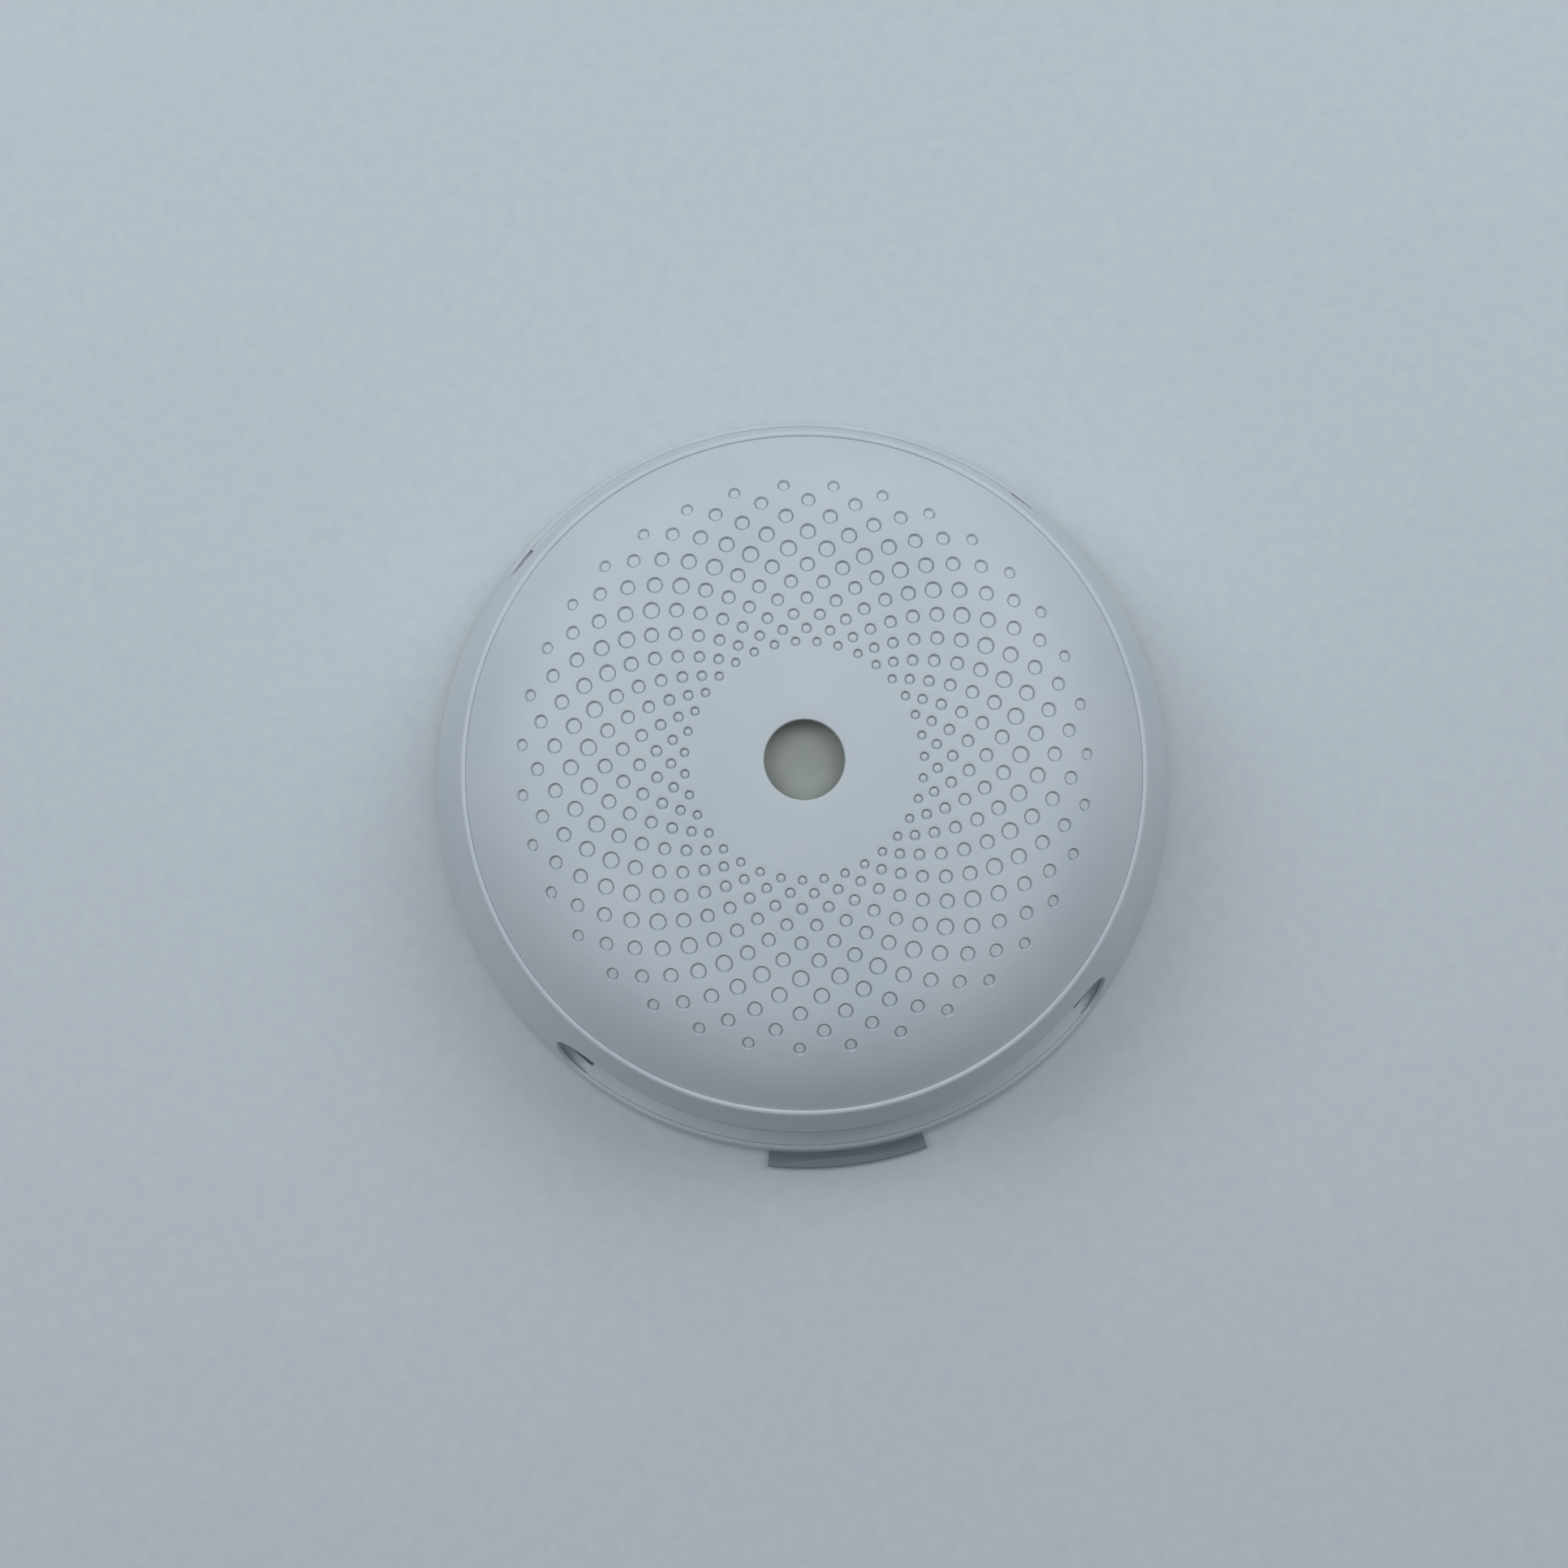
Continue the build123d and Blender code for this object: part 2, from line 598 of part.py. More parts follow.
def lamp(angle):
    """Five millimetre lamp body with a domed end."""
    body = Cylinder(2.5, 6.0) + Pos(0, 0, 3.0) * Sphere(2.5)
    return lamp_seat(angle) * (body + Pos(0, 0, -2.6) * Cylinder(2.85, 0.8))


# ---------------------------------------------------------------- sounder

def sounder_can():
    """Shallow resonator cup on the back plate, with a ledge for the piezo disc."""
    cup = tube(SOUNDER_X, SOUNDER_Y, SOUNDER_R - 1.0, SOUNDER_R, BACK_TOP, SOUNDER_TOP + 1.2)
    cup = cup + tube(SOUNDER_X, SOUNDER_Y, SOUNDER_R - 3.0, SOUNDER_R - 0.5, BACK_TOP, SOUNDER_TOP)
    return cup


def piezo_disc():
    """Brass disc with the thinner ceramic on it."""
    brass = cylinder(SOUNDER_X, SOUNDER_Y, PIEZO_R - 0.1, SOUNDER_TOP, SOUNDER_TOP + 0.4)
    return brass + cylinder(SOUNDER_X, SOUNDER_Y, PIEZO_R - 4, SOUNDER_TOP + 0.4, SOUNDER_TOP + 0.65)


def sounder_springs():
    """Three contact springs from the board down to the disc."""
    springs = []
    for x, y, bottom in ((0, 0, 0.65), (5, -3, 0.65), (-11.0, 2.0, 0.4)):
        springs.append(coil(SOUNDER_X + x, SOUNDER_Y + y, SOUNDER_TOP + bottom, BOARD_BOTTOM, 1.3, 0.4, 5))
    return springs


# ---------------------------------------------------------------- battery

def battery():
    """Lithium cell with its raised pole."""
    can = Cylinder(BATTERY_R, BATTERY_LENGTH - 1.0)
    can = fillet(can.edges().filter_by(GeomType.CIRCLE), 0.8)
    cell = can + Pos(0, 0, BATTERY_LENGTH / 2) * Cylinder(3.2, 1.6)
    return Pos(BATTERY_X, BATTERY_Y, BATTERY_Z) * Rot(0, 90, 0) * cell


def battery_contacts():
    """Nickel plates at the two ends of the bay, each with a tail up to the board."""
    plates = []
    right = BAY_X[1]
    left = BAY_X[0]
    plates.append(block(right - 0.5, right, 21, 33, 8, 19) + block(right - 0.5, right, 25, 29, 18, BAY_TOP))
    plates.append(block(left, left + 0.5, 21, 33, 8, 19) + block(left, left + 0.5, 25, 29, 18, BAY_TOP))
    return plates


def battery_spring():
    """Coil spring on the negative plate."""
    gap_end = BATTERY_X - (BATTERY_LENGTH - 1.0) / 2
    start = BAY_X[0] + 0.5
    upright = coil(0, 0, 0, gap_end - start - 0.05, 4.0, 0.7, 3)
    return Pos(start, BATTERY_Y, BATTERY_Z) * Rot(0, 90, 0) * upright


# ---------------------------------------------------------------- write one file per node

NODES = {
    "mounting_bracket": mounting_bracket,
    "release_tab": release_tab,
    "release_springs": release_springs,
    "back_housing": back_housing,
    "outer_housing": outer_housing,
    "front_cap": front_cap,
    "inlet_ramps": inlet_ramps,
    "case_screws": case_screws,
    "circuit_board": circuit_board,
    "board_screws": board_screws,
    "controller_chip": controller_chip,
    "capacitors": capacitors,
    "board_components": board_components,
    "tactile_switch": tactile_switch,
    "button_guide": button_guide,
    "status_led": status_led,
    "test_button": test_button,
    "button_spring": button_spring,
    "smoke_chamber_base": smoke_chamber_base,
    "smoke_chamber_cover": smoke_chamber_cover,
    "insect_screen": insect_screen,
    "infrared_led": lambda: lamp(200),
    "photodiode": lambda: lamp(340),
    "sounder_can": sounder_can,
    "piezo_disc": piezo_disc,
    "sounder_springs": sounder_springs,
    "battery": battery,
    "battery_contacts": battery_contacts,
    "battery_spring": battery_spring,
}

os.makedirs("parts", exist_ok=True)
for name, make in NODES.items():
    shape = make()
    if isinstance(shape, list):
        shape = Compound(children=shape)
    export_step(shape, f"parts/{name}.step")
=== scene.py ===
import math

import bmesh
import bpy
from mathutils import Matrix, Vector


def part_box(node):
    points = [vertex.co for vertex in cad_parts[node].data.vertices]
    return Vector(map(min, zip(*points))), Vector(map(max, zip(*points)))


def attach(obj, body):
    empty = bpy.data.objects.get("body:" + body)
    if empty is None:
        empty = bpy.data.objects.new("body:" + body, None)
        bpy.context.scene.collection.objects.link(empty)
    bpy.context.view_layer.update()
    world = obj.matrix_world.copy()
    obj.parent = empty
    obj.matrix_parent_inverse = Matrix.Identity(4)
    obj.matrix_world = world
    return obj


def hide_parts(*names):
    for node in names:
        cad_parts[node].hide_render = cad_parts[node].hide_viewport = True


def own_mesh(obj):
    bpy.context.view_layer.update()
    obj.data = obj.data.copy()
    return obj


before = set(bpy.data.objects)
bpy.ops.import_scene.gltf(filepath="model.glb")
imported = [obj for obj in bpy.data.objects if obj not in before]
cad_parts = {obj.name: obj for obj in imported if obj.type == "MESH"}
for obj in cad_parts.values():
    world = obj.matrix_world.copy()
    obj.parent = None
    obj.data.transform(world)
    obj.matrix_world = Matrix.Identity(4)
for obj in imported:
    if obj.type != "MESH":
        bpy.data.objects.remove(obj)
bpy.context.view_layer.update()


# ---- Mounting bracket
# The round plate that is screwed to the ceiling; the detector twists onto its three hooks.
# Injection-moulded white ABS: a fine spark-eroded skin and the slight rounding a mould leaves on edges.

MM = 0.001
WHITE_ABS = "#E9ECEE"
WHITE_ABS_SHADE = "#E2E6E9"
ABS_GRAIN = 0.35       # real spark erosion is nearer 0.1 mm; drawn coarser so that it shows
ABS_GRAIN_DEPTH = 0.006
ABS_DRIFT = 22.0       # the colour drifts over about this many millimetres
MERGE = 0.002
FLAT_ANGLE = 0.6


def linear(hex_colour):
    """An sRGB hex colour as linear red, green, blue and alpha."""
    digits = hex_colour.lstrip("#")
    parts = [int(digits[k:k + 2], 16) / 255 for k in (0, 2, 4)]
    curve = [p / 12.92 if p <= 0.04045 else ((p + 0.055) / 1.055) ** 2.4 for p in parts]
    return (*curve, 1.0)


def add(tree, kind, settings=None, links=None):
    """Adds a node. Settings are socket values or node properties; links go from sockets to outputs."""
    node = tree.nodes.new(kind)
    for key, value in (settings or {}).items():
        if isinstance(key, int) or key in node.inputs:
            node.inputs[key].default_value = value
        else:
            setattr(node, key, value)
    for socket, output in (links or {}).items():
        tree.links.new(output, node.inputs[socket])
    return node


def finish(name, values):
    """A material with one Principled shader, and those values on the shader's own sockets."""
    made = bpy.data.materials.new(name)
    made.use_nodes = True
    shader = made.node_tree.nodes["Principled BSDF"]
    for socket, value in values.items():
        shader.inputs[socket].default_value = value
    return made, made.node_tree, shader


def two_tone(tree, factor, first, second, low=0.35, high=0.65):
    """A colour that drifts between two hex colours as the factor goes from low to high."""
    ramp = add(tree, "ShaderNodeValToRGB", {}, {"Fac": factor})
    ramp.color_ramp.elements[0].position = low
    ramp.color_ramp.elements[0].color = linear(first)
    ramp.color_ramp.elements[1].position = high
    ramp.color_ramp.elements[1].color = linear(second)
    return ramp.outputs["Color"]


def moulded_abs(name, colour, shade, roughness=0.5, depth=ABS_GRAIN_DEPTH):
    """Moulded ABS: semi-matt, a fine even grain, and a colour that drifts a little over the part."""
    made, tree, shader = finish(name, {"IOR": 1.53, "Roughness": roughness})
    place = add(tree, "ShaderNodeTexCoord").outputs["Object"]
    grain = add(tree, "ShaderNodeTexNoise", {"Scale": 1 / (ABS_GRAIN * MM), "Detail": 2.0}, {"Vector": place})
    drift = add(tree, "ShaderNodeTexNoise", {"Scale": 1 / (ABS_DRIFT * MM), "Detail": 3.0}, {"Vector": place})
    bump = add(tree, "ShaderNodeBump", {"Distance": depth * MM}, {"Height": grain.outputs["Fac"]})
    gloss = add(
        tree, "ShaderNodeMapRange",
        {"From Min": 0.3, "From Max": 0.7, "To Min": roughness - 0.04, "To Max": roughness + 0.04},
        {"Value": grain.outputs["Fac"]},
    )
    tree.links.new(two_tone(tree, drift.outputs["Fac"], colour, shade), shader.inputs["Base Color"])
    tree.links.new(gloss.outputs["Result"], shader.inputs["Roughness"])
    tree.links.new(bump.outputs["Normal"], shader.inputs["Normal"])
    return made


def start_alone():
    """Nothing stays selected from the piece before."""
    if bpy.context.object and bpy.context.object.mode == "EDIT":
        bpy.ops.object.mode_set(mode="OBJECT")
    bpy.ops.object.select_all(action="DESELECT")


def apply_modifier(piece, kind, settings):
    """Adds a modifier with its settings and applies it."""
    modifier = piece.modifiers.new(kind.title(), kind)
    for key, value in settings.items():
        setattr(modifier, key, value)
    bpy.ops.object.modifier_apply(modifier=modifier.name)


def smooth(piece, crease=35):
    """Smooth shading up to a crease angle, with flat faces kept flat beside small roundings."""
    bpy.ops.object.shade_smooth_by_angle(angle=math.radians(crease))
    apply_modifier(piece, "WEIGHTED_NORMAL", {"keep_sharp": True})


def round_edges(piece, width, steps=2, corner=35):
    """Rounds every edge sharper than the corner angle."""
    apply_modifier(piece, "BEVEL", {
        "width": width * MM,
        "segments": steps,
        "limit_method": "ANGLE",
        "angle_limit": math.radians(corner),
        "miter_outer": "MITER_ARC",
        "use_clamp_overlap": False,
    })


def moulding(node, rounding):
    """A copy of a CAD node as it comes from its tool: facets merged, edges rounded if rounding isn't 0."""
    start_alone()
    piece = bpy.data.objects.new(node + "_piece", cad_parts[node].data.copy())
    bpy.context.collection.objects.link(piece)
    bpy.context.view_layer.objects.active = piece
    piece.select_set(True)
    piece.data.materials.clear()
    bpy.ops.object.mode_set(mode="EDIT")
    bpy.ops.mesh.select_all(action="SELECT")
    bpy.ops.mesh.remove_doubles(threshold=MERGE * MM)
    bpy.ops.mesh.dissolve_limited(angle_limit=math.radians(FLAT_ANGLE))
    bpy.ops.object.mode_set(mode="OBJECT")
    if rounding:
        round_edges(piece, rounding)
    smooth(piece)
    return piece


def fit(piece, body, node, material):
    """The piece stands for a CAD node: it rides on the node's body and takes its finish."""
    piece.data.materials.clear()
    piece.data.materials.append(material)
    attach(piece, body)
    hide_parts(node)


white_abs = moulded_abs("white_abs_moulded", WHITE_ABS, WHITE_ABS_SHADE)
bracket = moulding("mounting_bracket", 0.18)
fit(bracket, "bracket", "mounting_bracket", white_abs)


# ---- Release tab
# The grey finger pad under the foot of the wall; pushed in, it frees the detector's twist lock.
# Moulded in a darker ABS than the rest, so that it is found by eye, and slides in the bracket's channel.

GREY_ABS = "#989FA2"
GREY_ABS_SHADE = "#92999C"
PAD_TOP = 1.6
STEP_R = (58.0, 62.0)
STEP_BOTTOM = 0.84

grey_abs = moulded_abs("grey_abs_moulded", GREY_ABS, GREY_ABS_SHADE, 0.46)
tab = moulding("release_tab", 0)
# the step under the wall's foot is filled, so that the finger pad runs in under it without a dark line
for vertex in tab.data.vertices:
    outer = math.hypot(vertex.co.x, vertex.co.y) / MM
    if STEP_R[0] < outer < STEP_R[1] and STEP_BOTTOM < vertex.co.z / MM < PAD_TOP:
        vertex.co.z = PAD_TOP * MM
fit(tab, "release_tab", "release_tab", grey_abs)


# ---- Release springs
# Two compression springs between the bracket's wall and the tab. Hard-drawn stainless wire, coiled
# cold: a satin metal with fine drawing lines along the wire.

SPRING_STEEL = "#A9ADB0"
SPRING_STEEL_SHADE = "#8E9396"
DRAWING_LINE = 0.12
DRAWING_DEPTH = 0.003
DIE_PATCH = 2.0
TAB_SPRING_X = 4.0
TAB_SPRING_Y = (-43.55, -38.55)
TAB_SPRING_Z = 2.5
TAB_SPRING_R = 1.15
TAB_SPRING_WIRE = 0.35
TAB_SPRING_TURNS = 5
WIRE_SIDES = 10
STEPS_PER_TURN = 28


def drawn_wire(name, colour, shade, roughness):
    """Drawn metal wire: satin, with faint patches where the die polished it."""
    made, tree, shader = finish(name, {"Metallic": 1.0, "Roughness": roughness})
    place = add(tree, "ShaderNodeTexCoord").outputs["Object"]
    lines = add(
        tree, "ShaderNodeTexNoise", {"Scale": 1 / (DRAWING_LINE * MM), "Detail": 2.0}, {"Vector": place}
    )
    patch = add(tree, "ShaderNodeTexNoise", {"Scale": 1 / (DIE_PATCH * MM), "Detail": 2.0}, {"Vector": place})
    bump = add(tree, "ShaderNodeBump", {"Distance": DRAWING_DEPTH * MM}, {"Height": lines.outputs["Fac"]})
    gloss = add(
        tree, "ShaderNodeMapRange",
        {"From Min": 0.3, "From Max": 0.7, "To Min": roughness - 0.07, "To Max": roughness + 0.07},
        {"Value": patch.outputs["Fac"]},
    )
    tree.links.new(two_tone(tree, patch.outputs["Fac"], colour, shade), shader.inputs["Base Color"])
    tree.links.new(gloss.outputs["Result"], shader.inputs["Roughness"])
    tree.links.new(bump.outputs["Normal"], shader.inputs["Normal"])
    return made


def select_where(piece, kind, test):
    """In edit mode, selects only the vertices, edges or faces that pass the test."""
    bpy.ops.mesh.select_mode(type={"verts": "VERT", "edges": "EDGE", "faces": "FACE"}[kind])
    bpy.ops.mesh.select_all(action="DESELECT")
    mesh = bmesh.from_edit_mesh(piece.data)
    for element in getattr(mesh, kind):
        element.select_set(test(element))
    mesh.select_flush_mode()
    bmesh.update_edit_mesh(piece.data)


def coil_spring(name, length, radius, wire, turns):
    """A compression spring standing on the origin: a wire section screwed up its own height."""
    start_alone()
    bpy.ops.mesh.primitive_circle_add(
        vertices=WIRE_SIDES, radius=wire / 2 * MM, fill_type="NGON",
        location=(radius * MM, 0, wire / 2 * MM), rotation=(math.radians(90), 0, 0),
    )
    spring = bpy.context.object
    spring.name = name
    bpy.ops.object.transform_apply(location=True, rotation=True, scale=True)
    rise = (length - wire) / turns
    apply_modifier(spring, "SCREW", {
        "screw_offset": rise * MM,
        "iterations": turns,
        "steps": STEPS_PER_TURN,
        "render_steps": STEPS_PER_TURN,
        "use_merge_vertices": False,
    })
    bpy.ops.object.mode_set(mode="EDIT")
    bpy.ops.mesh.select_all(action="SELECT")
    bpy.ops.mesh.remove_doubles(threshold=0.001 * MM)
    select_where(spring, "faces", lambda face: len(face.verts) > 4)
    bpy.ops.mesh.delete(type="ONLY_FACE")
    select_where(spring, "edges", lambda edge: edge.is_boundary)
    bpy.ops.mesh.fill_holes(sides=WIRE_SIDES)
    bpy.ops.mesh.select_all(action="SELECT")
    bpy.ops.mesh.normals_make_consistent(inside=False)
    bpy.ops.object.mode_set(mode="OBJECT")
    bpy.ops.object.shade_smooth_by_angle(angle=math.radians(50))
    return spring


def settle(piece, place, turn=(0, 0, 0)):
    """Turns a finished piece and carries it to its place, all in its mesh."""
    piece.rotation_euler = [math.radians(angle) for angle in turn]
    piece.location = Vector(place) * MM
    bpy.ops.object.transform_apply(location=True, rotation=True, scale=True)


def join(name, pieces):
    """Several pieces become one object."""
    start_alone()
    for piece in pieces:
        piece.select_set(True)
    bpy.context.view_layer.objects.active = pieces[0]
    if len(pieces) > 1:
        bpy.ops.object.join()
    pieces[0].name = name
    return pieces[0]


spring_steel = drawn_wire("stainless_wire_drawn", SPRING_STEEL, SPRING_STEEL_SHADE, 0.3)
pair = []
for side in (-1, 1):
    one = coil_spring(
        "release_spring", TAB_SPRING_Y[1] - TAB_SPRING_Y[0], TAB_SPRING_R, TAB_SPRING_WIRE, TAB_SPRING_TURNS
    )
    settle(one, (side * TAB_SPRING_X, TAB_SPRING_Y[0], TAB_SPRING_Z), (-90, 0, 0))
    pair.append(one)
release_springs = join("release_springs_pair", pair)
fit(release_springs, "release_tab", "release_springs", spring_steel)
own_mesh(release_springs)


# ---- Back housing
# The rear plate with its bayonet ring, battery bay, board posts and screw bosses.
# The same white ABS as the bracket, moulded in one piece; the slits of the core pins are rounded over.

back_housing = moulding("back_housing", 0.16)
fit(back_housing, "detector", "back_housing", white_abs)


# ---- Battery
# A sealed lithium cell in a glossy shrink sleeve, dark with one light band and nothing printed on it.
# The sleeve's heat-shrunk ends fold over the nickel-plated can; the raised pole stands at one end.

CELL_X = (-21.25, 13.85)
CELL_Y = 27.0
CELL_Z = 13.1
CELL_R = 8.5
SLEEVE = 0.12
POLE_R = 3.2
SLEEVE_DARK = "#2B3138"
SLEEVE_LIGHT = "#B9C2C4"
BAND_SHARE = 0.24
NICKEL = "#C9C7C0"
NICKEL_SHADE = "#B4B2AB"
PLATING_CLOUD = 3.0
SLEEVE_RIPPLE = 4.0
SLEEVE_RIPPLE_DEPTH = 0.05


def arc(centre_r, centre_z, radius, start, end, steps):
    """Points of an arc in a profile, from one angle to another in degrees."""
    points = []
    for k in range(steps + 1):
        angle = math.radians(start + (end - start) * k / steps)
        points.append((centre_r + radius * math.cos(angle), centre_z + radius * math.sin(angle)))
    return points


def next_ring(radius, height):
    """Extrudes the selected ring of edges to another radius and height about the Z axis."""
    bpy.ops.mesh.extrude_edges_move()
    mesh = bmesh.from_edit_mesh(bpy.context.edit_object.data)
    now = next(vertex.co for vertex in mesh.verts if vertex.select)
    factor = radius * MM / math.hypot(now.x, now.y)
    rise = height * MM - now.z
    bpy.ops.transform.resize(value=(factor, factor, 1), center_override=(0, 0, 0))
    bpy.ops.transform.translate(value=(0, 0, rise))


def first_ring(name, radius, height, sides, filled=False):
    """A ring of edges to extrude from, with one corner on the X axis; left in edit mode."""
    start_alone()
    bpy.ops.mesh.primitive_circle_add(
        vertices=sides, radius=radius * MM, fill_type="NGON" if filled else "NOTHING",
        location=(0, 0, height * MM),
    )
    piece = bpy.context.object
    piece.name = name
    first = piece.data.vertices[0].co
    piece.rotation_euler.z = -math.atan2(first.y, first.x)
    bpy.ops.object.transform_apply(location=True, rotation=True, scale=True)
    bpy.ops.object.mode_set(mode="EDIT")
    bpy.ops.mesh.select_mode(type="EDGE")
    bpy.ops.mesh.select_all(action="SELECT")
    return piece


def turned(name, outline, sides, closed):
    """A shape turned about Z from a profile of (radius, height): a closed section, or ends filled flat."""
    piece = first_ring(name, *outline[0], sides, filled=not closed)
    for radius, height in outline[1:]:
        next_ring(radius, height)
    if closed:
        next_ring(*outline[0])
    else:
        bpy.ops.mesh.edge_face_add()
    bpy.ops.mesh.select_all(action="SELECT")
    bpy.ops.mesh.remove_doubles(threshold=0.001 * MM)
    bpy.ops.mesh.normals_make_consistent(inside=False)
    bpy.ops.object.mode_set(mode="OBJECT")
    return piece


def paint_where(piece, material, test):
    """The faces that pass the test take another material."""
    piece.data.materials.append(material)
    index = len(piece.data.materials) - 1
    for face in piece.data.polygons:
        if test(face):
            face.material_index = index


def plated(name, colour, shade, roughness):
    """A plated metal skin: even, satin, with the faint clouding that a plating bath leaves."""
    made, tree, shader = finish(name, {"Metallic": 1.0, "Roughness": roughness})
    place = add(tree, "ShaderNodeTexCoord").outputs["Object"]
    cloud = add(
        tree, "ShaderNodeTexNoise", {"Scale": 1 / (PLATING_CLOUD * MM), "Detail": 4.0}, {"Vector": place}
    )
    gloss = add(
        tree, "ShaderNodeMapRange",
        {"From Min": 0.3, "From Max": 0.7, "To Min": roughness - 0.06, "To Max": roughness + 0.06},
        {"Value": cloud.outputs["Fac"]},
    )
    tree.links.new(two_tone(tree, cloud.outputs["Fac"], colour, shade), shader.inputs["Base Color"])
    tree.links.new(gloss.outputs["Result"], shader.inputs["Roughness"])
    return made


def shrink_sleeve(name):
    """Glossy PVC sleeve: dark, with one light band near the raised pole."""
    made, tree, shader = finish(name, {"IOR": 1.54, "Roughness": 0.22})
    place = add(tree, "ShaderNodeTexCoord").outputs["Object"]
    along = add(tree, "ShaderNodeSeparateXYZ", {}, {"Vector": place})
    share = add(
        tree, "ShaderNodeMapRange",
        {"From Min": CELL_X[0] * MM, "From Max": CELL_X[1] * MM},
        {"Value": along.outputs["X"]},
    )
    band = two_tone(
        tree, share.outputs["Result"], SLEEVE_DARK, SLEEVE_LIGHT, 1 - BAND_SHARE, 1.005 - BAND_SHARE
    )
    ripple = add(
        tree, "ShaderNodeTexNoise", {"Scale": 1 / (SLEEVE_RIPPLE * MM), "Detail": 1.0}, {"Vector": place}
    )
    bump = add(
        tree, "ShaderNodeBump", {"Distance": SLEEVE_RIPPLE_DEPTH * MM}, {"Height": ripple.outputs["Fac"]}
    )
    tree.links.new(band, shader.inputs["Base Color"])
    tree.links.new(bump.outputs["Normal"], shader.inputs["Normal"])
    return made


nickel = plated("nickel_plate", NICKEL, NICKEL_SHADE, 0.26)
sleeve = shrink_sleeve("shrink_sleeve_pvc")
cell_length = CELL_X[1] - CELL_X[0]
can_length = cell_length - 0.85
groove = can_length - 4.0
battery = turned("battery_cell", [
    (CELL_R - 2.4, 0.25),
    (CELL_R - 2.2, 0.25),
    (CELL_R - 2.2, 0.0),
    *arc(CELL_R - 0.9, 0.9, 0.9, -90, 0, 5),
    (CELL_R, groove - 1.0),
    *arc(CELL_R + 0.55, groove, 1.0, 215, 145, 6),
    (CELL_R, groove + 1.0),
    *arc(CELL_R - 0.9, can_length - 0.9, 0.9, 0, 90, 5),
    (CELL_R - 2.2, can_length),
    (CELL_R - 2.2, can_length - SLEEVE),
    (POLE_R + 0.3, can_length - SLEEVE - 0.15),
    (POLE_R, can_length),
    (POLE_R, cell_length - 0.3),
    (POLE_R - 0.3, cell_length),
], 72, closed=False)
smooth(battery)
settle(battery, (CELL_X[0], CELL_Y, CELL_Z), (0, 90, 0))
fit(battery, "detector", "battery", sleeve)


def bare_end(face):
    """The metal that the sleeve leaves open at both ends of the cell."""
    middle = face.center
    from_axis = math.hypot(middle.y - CELL_Y * MM, middle.z - CELL_Z * MM)
    return from_axis < (CELL_R - 2.15) * MM


paint_where(battery, nickel, bare_end)


# ---- Battery contacts
# Two nickel-plated spring-steel strips at the ends of the bay, with a coil on the negative one.
# Stamped and bent, so their edges are nearly sharp; the coil is wound from drawn spring wire.

BAY_START = -25.5
CELL_SPRING_R = 4.0
CELL_SPRING_WIRE = 0.7
CELL_SPRING_TURNS = 3

contacts = moulding("battery_contacts", 0.06)
fit(contacts, "detector", "battery_contacts", nickel)
cell_spring = coil_spring(
    "battery_spring_coil", CELL_X[0] - BAY_START - 0.05, CELL_SPRING_R, CELL_SPRING_WIRE, CELL_SPRING_TURNS
)
settle(cell_spring, (BAY_START, CELL_Y, CELL_Z), (0, 90, 0))
fit(cell_spring, "detector", "battery_spring", spring_steel)


# ---- Smoke chamber
# The black optical block: a roof with two lamp holders and a floor with a ring of bent vanes, which let
# air through and keep light out. Moulded in matt black ABS so that it reflects as little as it can.

BLACK_ABS = "#17181A"
BLACK_ABS_SHADE = "#1E2022"

black_abs = moulded_abs("black_abs_moulded", BLACK_ABS, BLACK_ABS_SHADE, 0.58, 0.01)
chamber_base = moulding("smoke_chamber_base", 0.06)
fit(chamber_base, "detector", "smoke_chamber_base", black_abs)
chamber_cover = moulding("smoke_chamber_cover", 0.04)
fit(chamber_cover, "detector", "smoke_chamber_cover", black_abs)


# ---- Insect screen
# A band of woven stainless gauze round the vanes, held between two plain hems.
# The real mesh has about 0.6 mm between wires; it is drawn at twice that, so that the weave shows.

SCREEN_PITCH = 1.2
SCREEN_WIRE = 0.2
HEM = 0.7
HEM_WALL = 0.22
WEAVE_INSET = 0.13
WEAVE_SWING = 0.25
GAUZE = "#9C9A92"
GAUZE_SHADE = "#7F7D76"

low, high = (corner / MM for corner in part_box("insect_screen"))
screen_x = (low.x + high.x) / 2
screen_y = (low.y + high.y) / 2
screen_outer = (high.x - low.x) / 2
screen_r = screen_outer - WEAVE_INSET
screen_height = high.z - low.z
screen_cells = round(2 * math.pi * screen_r / SCREEN_PITCH)
screen_rows = round((screen_height - 2 * HEM) / SCREEN_PITCH)

weave = first_ring("insect_screen_weave", screen_r, low.z + HEM, screen_cells)
for row in range(1, screen_rows + 1):
    next_ring(screen_r, low.z + HEM + (screen_height - 2 * HEM) * row / screen_rows)
bpy.ops.object.mode_set(mode="OBJECT")
for vertex in weave.data.vertices:
    over = 1 if (vertex.index + vertex.index // screen_cells) % 2 else -1
    vertex.co.x *= 1 + over * WEAVE_SWING * SCREEN_WIRE / screen_r
    vertex.co.y *= 1 + over * WEAVE_SWING * SCREEN_WIRE / screen_r
apply_modifier(weave, "WIREFRAME", {"thickness": SCREEN_WIRE * MM * 0.5, "use_even_offset": False})
bpy.ops.object.shade_smooth_by_angle(angle=math.radians(60))
hems = []
for start in (low.z, high.z - HEM):
    hem = turned("insect_screen_hem", [
        (screen_outer - HEM_WALL, start),
        (screen_outer, start),
        (screen_outer, start + HEM),
        (screen_outer - HEM_WALL, start + HEM),
    ], 96, closed=True)
    smooth(hem)
    hems.append(hem)
screen = join("insect_screen_gauze", [weave, *hems])
settle(screen, (screen_x, screen_y, 0))
